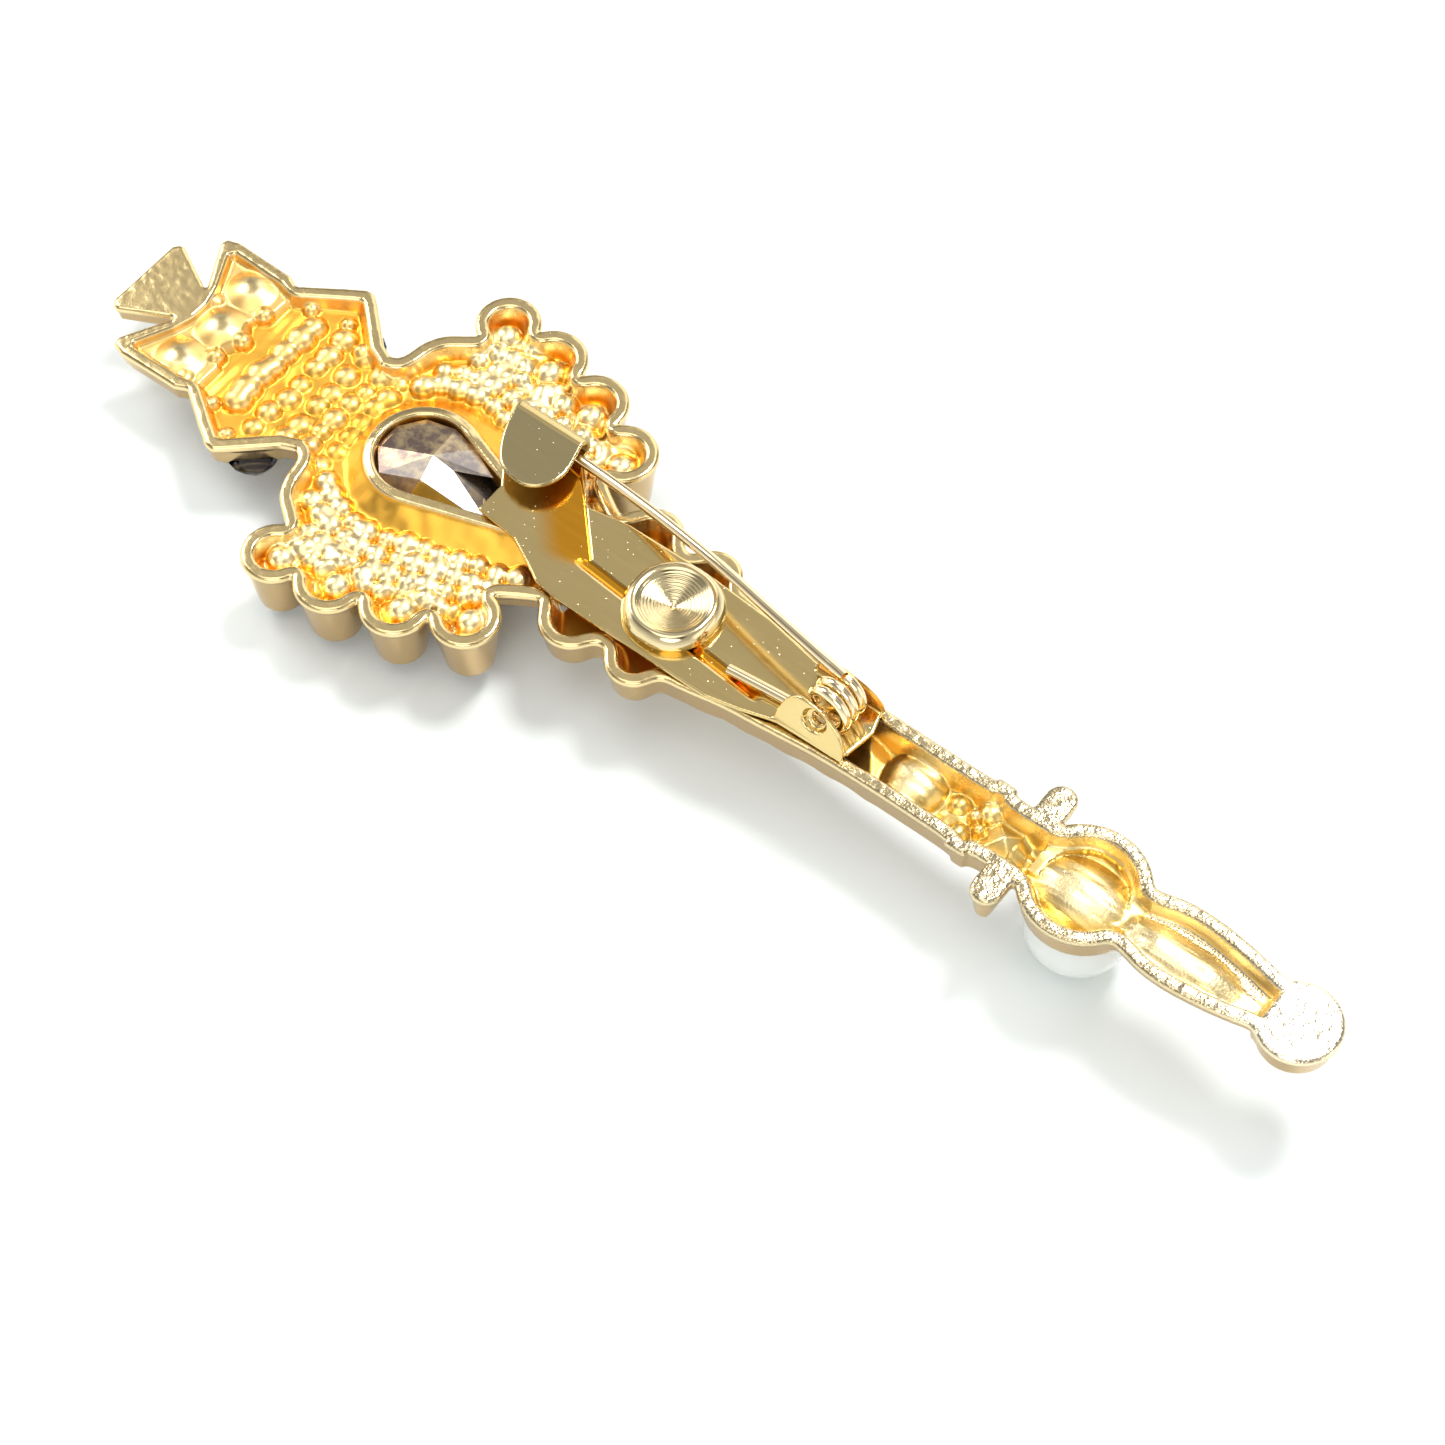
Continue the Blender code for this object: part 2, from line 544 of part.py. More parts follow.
def pin_stem():
    """The arched stem, from the top of the last turn to the point in the catch."""
    top = COIL_Z + COIL_RADIUS
    stops = [(COIL_U - 0.7, STEM_V, top - 0.03), (61.4, STEM_V + 0.42, top), (57.0, 2.3, top - 0.1),
             (53.0, 3.1, 3.75), (49.5, 3.75, 3.4), (45.0, 4.55, 2.75), (41.0, 5.2, 2.05),
             (36.8, 5.75, 1.35), (34.0, 5.9, 1.23), (31.6, 5.92, 1.23)]
    return wire("pin_stem", smooth_route(stops, 3), (COIL_U, STEM_V, COIL_Z), WIRE_GOLD)


frame_casting()
centre_crystal()
pearl()
set_stones()
pin_plate()
rivet_stud()
spring_tail()
spring_coil()
pin_stem()
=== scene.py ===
from math import asin, cos, degrees, pi, radians, sin

import bmesh
import bpy
import numpy as np
from mathutils import Matrix, Vector, kdtree


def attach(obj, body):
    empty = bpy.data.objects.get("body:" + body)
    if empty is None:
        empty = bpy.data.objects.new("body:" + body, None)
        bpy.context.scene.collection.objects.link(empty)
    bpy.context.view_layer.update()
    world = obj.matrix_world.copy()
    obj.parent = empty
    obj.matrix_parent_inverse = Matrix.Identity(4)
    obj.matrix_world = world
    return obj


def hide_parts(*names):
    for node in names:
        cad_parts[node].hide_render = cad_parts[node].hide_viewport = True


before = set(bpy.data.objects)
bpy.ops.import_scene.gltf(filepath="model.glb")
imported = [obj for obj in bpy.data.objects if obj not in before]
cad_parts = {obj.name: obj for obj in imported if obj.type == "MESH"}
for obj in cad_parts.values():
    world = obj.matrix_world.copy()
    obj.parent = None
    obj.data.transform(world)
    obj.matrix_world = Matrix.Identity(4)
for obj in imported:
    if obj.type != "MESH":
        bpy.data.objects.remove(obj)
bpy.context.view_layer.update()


def both_sides(places):
    """Each (u, v, ...) and its mirror image, with the word for its side."""
    found = []
    for number, (u, v, *rest) in enumerate(places, start=1):
        found.append((f"left_{number}", u, v, *rest))
        found.append((f"right_{number}", u, -v, *rest))
    return found


MM = 0.001
HEAD_END, TAIL_END = -0.9, 105.17
MIDDLE = (HEAD_END + TAIL_END) / 2
RIM_HEIGHT = 7.824
TAIL_LIFT = radians(2.634)
RESTING = Matrix.Translation((0.0, 0.0, RIM_HEIGHT * MM)) @ Matrix.Rotation(-TAIL_LIFT, 4, "Y")

GAP = 0.3   # behind each stone's girdle
FACE, STAFF_FACE, CROWN_FACE = -2.0, -3.0, -2.2   # heights of the front faces
LOBE_DEPTH = 5.3
LOBES = both_sides([(24.0, 13.0, 2.5), (28.7, 12.4, 2.7), (33.7, 11.1, 2.65), (38.3, 8.9, 2.6)])
CROSS_STONES = [(6.4, 4.0), (6.9, 0.0), (6.4, -4.0)]
STAFF_STONES = [(55.4 + 3.8 * n, 0.0) for n in range(4)]
CROSS_STONE, SHOULDER_STONE, BULGE_STONE, STAFF_STONE = 1.5, 2.0, 1.2, 1.3   # radii
SHOULDER_U, SHOULDER_V = 15.4, 6.2
RIM_WIDTH = 0.97
BULGES = both_sides([(44.4, 4.4, 2.5), (50.0, 4.4, 2.2)])
CUP_U, CUP_RADIUS = 85.1, 4.65
PEARL_RADIUS, PEARL_DEPTH = 3.85, 5.5
NUB_U, NUB_V, NUB_RADIUS = 80.15, 4.35, 1.15
DISC_U, DISC_RADIUS = 102.1, 3.07
PEAR_CENTRE, PEAR_RADIUS, PEAR_TIP = 26.7, 3.5, 38.0
PEAR_SLOPE = asin(PEAR_RADIUS / (PEAR_TIP - PEAR_CENTRE))   # of the drop's straight flanks
PEAR_SHOULDER = 90.0 - degrees(PEAR_SLOPE)   # where its round end meets them, in degrees
CROWN_END = 19.2   # where the crown meets the wings
RIVET_U, RIVET_V, STUD_SIZE = 50.0, 0.0, 7.2
PLATE_TOP, SHEET = 0.6, 0.35
WIRE = 0.4
COIL_U, COIL_Z, COIL_RADIUS = 64.2, 2.58, 1.5
STEM_V = 1.1

PHOTOGRAPHER = (0.345, -0.415, 0.842)   # where a dark figure stands in the pale room
ROOM_LIGHT = 0.95

CASTING_PITCH, PLATE_PITCH, STUD_PITCH = 0.13, 0.09, 0.06   # grids that pieces are sculpted on


# --- outlines in the casting's plane ---

def at(u, v, z):
    """A point of the casting's plane, in the frame, in metres."""
    return RESTING @ Vector(((u - MIDDLE) * MM, v * MM, z * MM))


def mirrored(half):
    """A whole outline from its half on the +v side, drawn from head to tail."""
    return list(half) + [(u, -v) for u, v in reversed(half) if v > 0.0]


def arc(u, v, radius, start, end, steps):
    angles = [radians(start + (end - start) * n / steps) for n in range(steps + 1)]
    return [(u + radius * cos(a), v + radius * sin(a)) for a in angles]


def smooth_route(stops, steps):
    """A Catmull-Rom curve through points of any dimension."""
    route = [np.array(stop, float) for stop in stops]
    ends = [2 * route[0] - route[1]] + route + [2 * route[-1] - route[-2]]
    found = []
    for before, start, end, after in zip(ends, ends[1:], ends[2:], ends[3:]):
        for n in range(steps):
            t = n / steps
            found.append(0.5 * (2 * start + (end - before) * t
                                + (2 * before - 5 * start + 4 * end - after) * t * t
                                + (3 * start - before - 3 * end + after) * t ** 3))
    return [tuple(point) for point in found + [route[-1]]]


def flowing(half, steps=4):
    return mirrored(smooth_route(half, steps))


def drop(margin, steps=40):
    """The drop-shaped opening's outline, grown by a margin all round."""
    round_end = arc(PEAR_CENTRE, 0.0, PEAR_RADIUS + margin, PEAR_SHOULDER, 360.0 - PEAR_SHOULDER, steps)
    return round_end + [(PEAR_TIP + margin / sin(PEAR_SLOPE), 0.0)]


def drop_side(margin, turn, steps, pitch, count):
    """Places beside the drop's +v side: down its round end in steps, then along its flank."""
    places = arc(PEAR_CENTRE, 0.0, PEAR_RADIUS + margin, PEAR_SHOULDER + turn, PEAR_SHOULDER, steps)
    u, v = places[-1]
    return places + [(u + n * pitch * cos(PEAR_SLOPE), v - n * pitch * sin(PEAR_SLOPE))
                     for n in range(1, count)]


def drop_row(margin, pitch):
    """Places at a pitch all along the drop's +v side."""
    turn, straight, radius = radians(130.0), 13.0, PEAR_RADIUS + margin
    steps = round(turn * radius / pitch)
    places = drop_side(margin, degrees(steps * pitch / radius), steps, pitch, int(straight / pitch))
    return [(u, v) for u, v in places if v > 0.2]


CROSS_ARMS = mirrored([(3.8, 2.0), (1.8, 5.6), (1.95, 6.25), (3.0, 6.6), (8.2, 6.5), (9.6, 5.8)])
CROSS_TOP = mirrored([(-0.9, 3.2), (-0.55, 3.65), (-0.1, 3.75), (3.6, 1.85), (6.0, 1.85)])
CROWN = mirrored([(8.6, 5.7), (12.0, 8.0), (13.6, 9.0), (14.3, 9.05), (15.0, 8.5), (18.0, 5.8),
    (19.2, 5.25), (21.0, 5.2)])
WINGS = flowing([(19.2, 5.25), (19.8, 6.0), (20.2, 7.8), (21.0, 9.2), (22.8, 10.6), (25.0, 12.5),
    (30.0, 11.8), (35.0, 9.8), (38.4, 7.5), (38.8, 6.3), (42.3, 4.2), (43.5, 4.2)])
STAFF = flowing([(41.5, 4.2), (43.0, 5.0), (52.0, 4.6), (57.0, 3.8), (60.0, 3.5), (66.0, 2.95),
    (75.0, 2.9), (75.7, 3.2), (77.3, 3.2), (78.0, 2.75), (82.5, 2.75)])
PETAL = flowing([(88.3, 2.4), (90.0, 2.75), (91.5, 3.1), (93.5, 3.2), (96.0, 2.95), (98.0, 2.6),
    (99.8, 2.2), (101.0, 2.2)])
CROSS_HOLLOW = mirrored([(4.9, 0.7), (4.4, 2.4), (3.0, 5.2), (3.3, 5.65), (8.0, 5.55), (10.5, 4.9)])
CROWN_HOLLOW = mirrored([(9.0, 4.9), (12.5, 7.2), (13.8, 8.0), (14.2, 7.9), (17.4, 5.0), (19.2, 4.25),
    (21.5, 4.2)])


# --- sculpting on a grid ---

def soft_min(a, b, blend):
    """The union of two fields, with a fillet where they meet."""
    near = np.clip(0.5 + 0.5 * (b - a) / blend, 0.0, 1.0)
    return b + (a - b) * near - blend * near * (1.0 - near)


def soft_max(a, b, blend):
    """What two fields share, with a rounded edge where they meet."""
    return -soft_min(-a, -b, blend)


def ease(low, high, x):
    t = np.clip((x - low) / (high - low), 0.0, 1.0)
    return t * t * (3.0 - 2.0 * t)


class Plan:
    """A grid over (u, v) that fields are drawn on; a field is negative inside a shape."""

    def __init__(self, low, high, pitch):
        self.low, self.pitch = low, pitch
        self.u_axis = np.arange(low[0], high[0] + pitch, pitch, dtype=np.float32)
        self.v_axis = np.arange(low[1], high[1] + pitch, pitch, dtype=np.float32)
        self.u, self.v = np.meshgrid(self.u_axis, self.v_axis, indexing="ij")

    def outline(self, points):
        nearest = np.full(self.u.shape, 1e9, np.float32)
        inside = np.zeros(self.u.shape, bool)
        for (u0, v0), (u1, v1) in zip(points, points[1:] + points[:1]):
            run_u, run_v = u1 - u0, v1 - v0
            if abs(run_u) + abs(run_v) < 1e-6:
                continue
            from_u, from_v = self.u - u0, self.v - v0
            share = np.clip((from_u * run_u + from_v * run_v) / (run_u ** 2 + run_v ** 2), 0.0, 1.0)
            gap = (from_u - run_u * share) ** 2 + (from_v - run_v * share) ** 2
            nearest = np.minimum(nearest, gap)
            if run_v != 0.0:
                spans = (v0 > self.v) != (v1 > self.v)
                inside ^= spans & (from_u < run_u * from_v / run_v)
        return np.where(inside, -1.0, 1.0).astype(np.float32) * np.sqrt(nearest)

    def circle(self, u, v, radius):
        return np.hypot(self.u - u, self.v - v) - radius

    def depth_inside(self, field, reach=2.5):
        """How far inside a shape's outline each point lies, true up to a reach."""
        outline = []
        for axis, (first, second) in enumerate(((field[:-1], field[1:]), (field[:, :-1], field[:, 1:]))):
            cells = np.argwhere((first < 0.0) != (second < 0.0))
            here, there = first[tuple(cells.T)], second[tuple(cells.T)]
            places = cells.astype(float)
            places[:, axis] += here / (here - there)
            outline.append(places * self.pitch + np.array(self.low))
        outline = np.concatenate(outline)
        tree = kdtree.KDTree(len(outline))
        for n, (u, v) in enumerate(outline):
            tree.insert((u, v, 0.0), n)
        tree.balance()
        deep = -field
        for i, j in np.argwhere((field < 0.0) & (field > -reach)):
            deep[i, j] = tree.find((self.u[i, j], self.v[i, j], 0.0))[2]
        return deep

    def ripple(self, size_u, size_v, seed):
        """Smooth seeded noise from -1 to 1, with cells of the given size."""
        cells_u = int(np.ptp(self.u_axis) / size_u) + 3
        cells_v = int(np.ptp(self.v_axis) / size_v) + 3
        lattice = np.random.default_rng(seed).uniform(-1.0, 1.0, (cells_u, cells_v)).astype(np.float32)
        x, y = (self.u - self.low[0]) / size_u, (self.v - self.low[1]) / size_v
        i, j = x.astype(int), y.astype(int)
        s, t = ease(0.0, 1.0, x - i), ease(0.0, 1.0, y - j)
        near = lattice[i, j] * (1 - s) + lattice[i + 1, j] * s
        far = lattice[i, j + 1] * (1 - s) + lattice[i + 1, j + 1] * s
        return near * (1 - t) + far * t

    def cells(self, points):
        """The places on the grid that are nearest to some points."""
        return tuple(np.round((points[:, :2] - self.low) / self.pitch).astype(int).T)

    def pillow(self, height, u, v, radius, top, rise, blend):
        """Raise a round cap in a height field, its top at a height, by its rise."""
        reach = radius + 0.3
        window = (slice(*np.searchsorted(self.u_axis, (u - reach, u + reach))),
                  slice(*np.searchsorted(self.v_axis, (v - reach, v + reach))))
        du, dv = (self.u[window] - u) / radius, (self.v[window] - v) / radius
        share = du * du + dv * dv
        cap = top - rise * (1.0 - np.sqrt(np.clip(1.0 - share, 0.0, 1.0)))
        cap = np.where(share < 1.0, cap, top - rise - 4.0 * (np.sqrt(share) - 1.0) * radius)
        height[window] = soft_max(height[window], cap, blend)


def surface_net(field, low, pitch):
    """Points and quads of a field's zero level: one point in each cell that it crosses."""
    inside = field < 0.0
    cells = [slice(None, -1), slice(1, None)]
    corners = [(a, b, c) for a in (0, 1) for b in (0, 1) for c in (0, 1)]
    count = np.zeros([n - 1 for n in field.shape], np.uint8)
    for a, b, c in corners:
        count += inside[cells[a], cells[b], cells[c]]
    crossed = (count > 0) & (count < 8)
    base = np.argwhere(crossed)
    number = np.full(crossed.shape, -1, np.int32)
    number[crossed] = np.arange(len(base))
    total, hits = np.zeros((len(base), 3)), np.zeros(len(base))
    for axis in range(3):
        for corner in corners:
            if corner[axis]:
                continue
            start = base + corner
            end = start.copy()
            end[:, axis] += 1
            f0, f1 = field[tuple(start.T)], field[tuple(end.T)]
            hit = (f0 < 0.0) != (f1 < 0.0)
            point = start[hit].astype(float)
            point[:, axis] += f0[hit] / (f0[hit] - f1[hit])
            total[hit] += point
            hits[hit] += 1
    points = total / hits[:, None] * pitch + np.array(low)
    quads = []
    for axis in range(3):
        b, c = (axis + 1) % 3, (axis + 2) % 3
        before = [slice(1, -1)] * 3
        before[axis] = slice(0, -1)
        after = list(before)
        after[axis] = slice(1, None)
        for outward in (True, False):
            first, second = inside[tuple(before)], inside[tuple(after)]
            found = np.argwhere(first & ~second if outward else second & ~first)
            found[:, b] += 1
            found[:, c] += 1
            ring = []
            for step_b, step_c in ((1, 1), (0, 1), (0, 0), (1, 0)):
                cell = found.copy()
                cell[:, b] -= step_b
                cell[:, c] -= step_c
                ring.append(number[tuple(cell.T)])
            quads.append(np.stack(ring if outward else ring[::-1], axis=1))
    return points, np.concatenate(quads)


def to_frame(points):
    """Points of the casting's plane, in millimetres, as points of the frame, in metres."""
    matrix = np.array(RESTING)
    flat = (points - np.array((MIDDLE, 0.0, 0.0))) * MM
    return flat @ matrix[:3, :3].T + matrix[:3, 3]


def placed(name, data):
    obj = bpy.data.objects.new(name, data)
    bpy.context.scene.collection.objects.link(obj)
    return obj


def finish_piece(name, mesh, paint, body, nodes):
    obj = placed(name, mesh)
    mesh.materials.append(paint)
    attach(obj, body)
    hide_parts(*nodes)


def finish_bmesh(bm, name, paint, nodes, body="brooch", smooth=False):
    """Make a piece from a bmesh that is drawn in the frame, in metres."""
    bmesh.ops.remove_doubles(bm, verts=bm.verts, dist=1e-7)
    bmesh.ops.recalc_face_normals(bm, faces=bm.faces)
    mesh = bpy.data.meshes.new(name)
    bm.to_mesh(mesh)
    bm.free()
    if smooth:
        mesh.shade_smooth()
        mesh.set_sharp_from_angle(angle=radians(50))
    finish_piece(name, mesh, paint, body, nodes)


def join_rings(bm, rings):
    """Faces between each ring of points and the next one."""
    for first, second in zip(rings, rings[1:]):
        for n in range(len(first)):
            after = (n + 1) % len(first)
            bm.faces.new((first[n], first[after], second[after], second[n]))


def sculpted(name, plan, z_axis, layer, paint, nodes, wear_and_painted_light=None):
    """A piece from a field given layer by layer; the last argument gives its paint a value for each point,
    which sets where rubbing and painted light go in its colour.
    """
    field = np.empty((*plan.u.shape, len(z_axis)), np.float32)
    for n, z in enumerate(z_axis):
        field[:, :, n] = layer(float(z))
    points, quads = surface_net(field, (*plan.low, z_axis[0]), plan.pitch)
    mesh = bpy.data.meshes.new(name)
    mesh.vertices.add(len(points))
    mesh.vertices.foreach_set("co", to_frame(points).astype(np.float32).ravel())
    mesh.loops.add(quads.size)
    mesh.loops.foreach_set("vertex_index", quads.astype(np.int32).ravel())
    mesh.polygons.add(len(quads))
    mesh.polygons.foreach_set("loop_start", np.arange(0, quads.size, 4, dtype=np.int32))
    mesh.update(calc_edges=True)
    mesh.validate()
    mesh.shade_smooth()
    if wear_and_painted_light:
        wear_and_light_zone = mesh.attributes.new("wear_and_painted_light", "FLOAT", "POINT")
        wear_and_light_zone.data.foreach_set("value", wear_and_painted_light(points).astype(np.float32))
    finish_piece(name, mesh, paint, "brooch", nodes)


# --- materials ---

LACQUER, OLIVE, GREY, SILVER = 1.0, 1.15, 1.7, 2.0   # what covers a back facet of the large crystal
CLEAR_GLASS, GLASS_IOR = (0.97, 0.98, 1.0), 1.58


def feed(tree, socket, value):
    """Give an input its value, or join it to the output that feeds it."""
    if isinstance(value, bpy.types.NodeSocket):
        tree.links.new(value, socket)
    else:
        socket.default_value = value


def add_node(tree, kind, inputs, output=0, **settings):
    """An output of a new shader node."""
    made = tree.nodes.new("ShaderNode" + kind)
    for key, value in settings.items():
        setattr(made, key, value)
    for key, value in inputs.items():
        feed(tree, made.inputs[key], value)
    return made.outputs[output]


class Paint:
    """A material under construction: short ways to add and join its nodes."""

    def __init__(self, name, colour, roughness, metallic=0.0):
        self.material = bpy.data.materials.new(name)
        self.material.use_nodes = True
        self.tree = self.material.node_tree
        self.shader = self.tree.nodes["Principled BSDF"]
        self.set("Base Color", (*colour, 1.0))
        self.set("Roughness", roughness)
        self.set("Metallic", metallic)
        self.place = self.node("TexCoord", {}, "Object")

    def set(self, socket, value):
        feed(self.tree, self.shader.inputs[socket], value)

    def node(self, kind, inputs, output=0, **settings):
        return add_node(self.tree, kind, inputs, output, **settings)

    def noise(self, cell_mm, detail=3.0, roughness=0.55, stretch=(1.0, 1.0, 1.0), turn=0.0):
        """Noise with cells of a size in millimetres, stretched and turned about +Z."""
        moved = self.node("Mapping", {"Vector": self.place, "Scale": stretch,
                                      "Rotation": (0.0, 0.0, radians(turn))})
        return self.node("TexNoise", {"Vector": moved, "Scale": 1.0 / (cell_mm * MM),
                                      "Detail": detail, "Roughness": roughness}, "Fac")

    def grains(self, cell_mm):
        return self.node("TexVoronoi", {"Vector": self.place, "Scale": 1.0 / (cell_mm * MM)}, "Distance")

    def ranged(self, value, low, high, from_low=0.0, from_high=1.0):
        return self.node("MapRange", {"Value": value, "From Min": from_low, "From Max": from_high,
                                      "To Min": low, "To Max": high})

    def share(self, value, low, high):
        """How far a value has come from low to high, from 0 to 1."""
        return self.ranged(value, 0.0, 1.0, low, high)

    def mix(self, share, first, second):
        first, second = [c if isinstance(c, bpy.types.NodeSocket) else (*c, 1.0)
                         for c in (first, second)]
        return self.node("Mix", {"Factor": share, 6: first, 7: second}, 2, data_type="RGBA")

    def maths(self, operation, first, second):
        return self.node("Math", {0: first, 1: second}, operation=operation)

    def attribute(self, name):
        return self.node("Attribute", {}, "Fac", attribute_name=name)

    def bump(self, height, depth_mm, strength, below=None):
        inputs = {"Height": height, "Distance": depth_mm * MM, "Strength": strength}
        if below is not None:
            inputs["Normal"] = below
        return self.node("Bump", inputs)

    def clouds(self, cell_mm, detail, first, second):
        self.set("Base Color", self.mix(self.noise(cell_mm, detail), first, second))

    def gloss(self, cell_mm, detail, low, high):
        self.set("Roughness", self.ranged(self.noise(cell_mm, detail), low, high))


def cast_gold():
    """Plated casting: a deep orange low in the hollows, painted shade and light bounced between the gold
    walls; paler lumps; paler and grainier rubbed rims, greyer toward the tail, partly real speckle and
    partly painted shade against the key light; a paler disc, a painted highlight; darker outer walls and
    front face, painted shade.
    """
    paint = Paint("cast_gold_plating", (0.90, 0.62, 0.24), 0.2, 1.0)
    wear_and_light_zone = paint.attribute("wear_and_painted_light")    # 0 in the valleys, 0.5 on the lumps, 1 on the rims, 1.5 outside
    along = paint.node("SeparateXYZ", {0: paint.place}, "X")
    tail = paint.ranged(along, 0.10, 1.0, 0.008, 0.022)
    disc = paint.share(along, 0.044, 0.048)
    cloud = paint.noise(4.0, 4.0)
    # Painted shade and bounce light: the deep orange of the valleys, less of it toward the tail.
    valley = paint.mix(cloud, (0.84, 0.41, 0.03), (0.88, 0.49, 0.07))
    valley = paint.mix(tail, valley, (0.77, 0.54, 0.17))
    lumps = paint.mix(cloud, (0.91, 0.71, 0.34), (0.95, 0.80, 0.48))
    # Rims: darker and greyer toward the tail, partly real speckle and partly painted shade against the key
    # light; paler and without flecks on the disc, a painted highlight.
    flecks = paint.maths("MULTIPLY", paint.ranged(paint.noise(0.2, 2.0), 0.0, 0.65, 0.48, 0.6),
                         paint.maths("SUBTRACT", tail, paint.maths("MULTIPLY", disc, 0.8)))
    metal = paint.mix(tail, (0.80, 0.61, 0.29), (0.66, 0.55, 0.34))
    rim = paint.mix(flecks, paint.mix(disc, metal, (0.84, 0.74, 0.54)), (0.44, 0.34, 0.19))
    hollow = paint.mix(paint.share(wear_and_light_zone, 0.0, 0.5), valley, lumps)
    top = paint.mix(paint.share(wear_and_light_zone, 0.5, 1.0), hollow, rim)
    # Painted shade: the darker colour of the outer walls and front face.
    paint.set("Base Color", paint.mix(paint.share(wear_and_light_zone, 1.0, 1.5), top, (0.63, 0.44, 0.21)))
    polish = paint.ranged(wear_and_light_zone, 0.33, 0.18, 0.3, 1.0)
    fine = paint.ranged(paint.noise(0.5, 5.0), -0.07, 0.07)
    paint.set("Roughness", paint.maths("ADD", polish, fine))
    grain = paint.bump(paint.grains(0.2), 0.02, paint.maths("MULTIPLY", paint.ranged(wear_and_light_zone, 0.2, 1.0), tail))
    paint.set("Normal", paint.bump(paint.noise(0.25), 0.008, paint.ranged(wear_and_light_zone, 0.08, 0.3), grain))
    return paint.material


def stamped_gold():
    """Bright sheet: nearly a mirror, with rolled lines, hair scratches and specks; an orange painted
    reflection where it is pressed and on the far ear, and painted shade on the catch's tongue and under it.
    """
    paint = Paint("stamped_gold_sheet", (0.70, 0.58, 0.33), 0.12, 1.0)
    # Its value: up to 1 where it is pressed and up to 0.8 on the far ear, for an orange painted reflection;
    # -0.4 on the tongue and -1 under it, for painted shade.
    pressed = paint.attribute("wear_and_painted_light")   # 1 where it is pressed, -0.4 on the tongue, -1 under it
    tone = paint.mix(paint.noise(6.0), (0.72, 0.54, 0.22), (0.80, 0.62, 0.29))
    # Painted shade: darker on the catch's tongue and under it.
    tone = paint.mix(paint.ranged(pressed, 1.0, 0.0, -0.4, -0.1), tone, (0.55, 0.45, 0.23))
    # Painted reflection: orange where the plate is pressed and on the far ear.
    sheet = paint.mix(pressed, tone, (0.86, 0.39, 0.03))
    rolled = paint.noise(0.30, 2.0, stretch=(0.05, 1.0, 1.0), turn=6.0)
    hairs = paint.noise(0.16, 2.0, stretch=(1.0, 0.04, 1.0), turn=28.0)
    specks = paint.ranged(paint.grains(0.6), 0.8, 0.0, 0.03, 0.10)
    paint.set("Base Color", paint.mix(specks, sheet, (1.0, 0.93, 0.78)))
    roughness = paint.maths("ADD", paint.ranged(rolled, 0.07, 0.2), paint.maths("MULTIPLY", specks, 0.4))
    under = paint.ranged(pressed, 0.4, 0.0, -1.0, -0.5)
    paint.set("Roughness", paint.maths("ADD", roughness, under))
    lines = paint.bump(paint.maths("ADD", rolled, hairs), 0.004, 0.6)
    paint.set("Normal", paint.bump(specks, 0.015, 0.5, lines))
    return paint.material


def turned_gold():
    """The pressed rivet cap, with a faint turned sheen."""
    paint = Paint("turned_gold_cap", (0.85, 0.70, 0.38), 0.12, 1.0)
    paint.clouds(2.5, 3.0, (0.72, 0.58, 0.31), (0.82, 0.69, 0.42))
    paint.gloss(0.3, 3.0, 0.07, 0.2)
    paint.set("Normal", paint.bump(paint.noise(0.15, 2.0), 0.003, 0.4))
    return paint.material


def wire_gold():
    """Polished wire, with lines drawn along it."""
    paint = Paint("drawn_gold_wire", (0.90, 0.74, 0.46), 0.1, 1.0)
    paint.clouds(5.0, 3.0, (0.84, 0.66, 0.36), (0.95, 0.81, 0.56))
    drawn = paint.noise(0.12, 2.0, stretch=(0.05, 1.0, 1.0), turn=-12.0)
    paint.set("Roughness", paint.ranged(drawn, 0.05, 0.16))
    paint.set("Normal", paint.bump(drawn, 0.003, 0.4))
    return paint.material


def crystal(name, first, second):
    """Cut glass, with faint polish marks."""
    paint = Paint(name, first, 0.02)
    paint.set("Transmission Weight", 1.0)
    paint.set("IOR", GLASS_IOR)
    paint.clouds(3.0, 2.0, first, second)
    paint.gloss(0.4, 3.0, 0.0, 0.035)
    return paint.material


def nacre():
    """Imitation pearl: a soft white body under a clear skin."""
    paint = Paint("pearl_nacre", (0.9, 0.89, 0.87), 0.2)
    paint.set("Coat Weight", 0.8)
    paint.set("Coat Roughness", 0.06)
    paint.clouds(5.0, 0.0, (0.70, 0.73, 0.70), (0.76, 0.78, 0.74))
    paint.gloss(5.0, 0.0, 0.22, 0.28)
    return paint.material


def foiled_crystal():
    """Cut glass whose back facets are silvered, in places under a brown lacquer."""
    paint = Paint("foil_backed_glass", CLEAR_GLASS, 0.03)
    silvered = paint.attribute("silvered")    # 0 on bare glass, or what covers the facet
    foiled = paint.maths("GREATER_THAN", silvered, 0.5)
    paint.set("Metallic", paint.maths("MULTIPLY", foiled, paint.ranged(silvered, 0.55, 1.0, OLIVE, GREY)))
    paint.set("Transmission Weight", paint.maths("LESS_THAN", silvered, 0.5))
    paint.set("IOR", GLASS_IOR)
    patchy = paint.share(paint.noise(0.9, 4.0, 0.6), 0.42, 0.62)
    lacquer = paint.mix(patchy, (0.17, 0.12, 0.10), (0.42, 0.32, 0.18))
    cover = paint.mix(paint.share(silvered, LACQUER, SILVER), lacquer, (0.86, 0.88, 0.92))
    paint.set("Base Color", paint.mix(paint.share(silvered, 0.0, 0.5), CLEAR_GLASS, cover))
    paint.gloss(0.4, 3.0, 0.02, 0.12)
    return paint.material


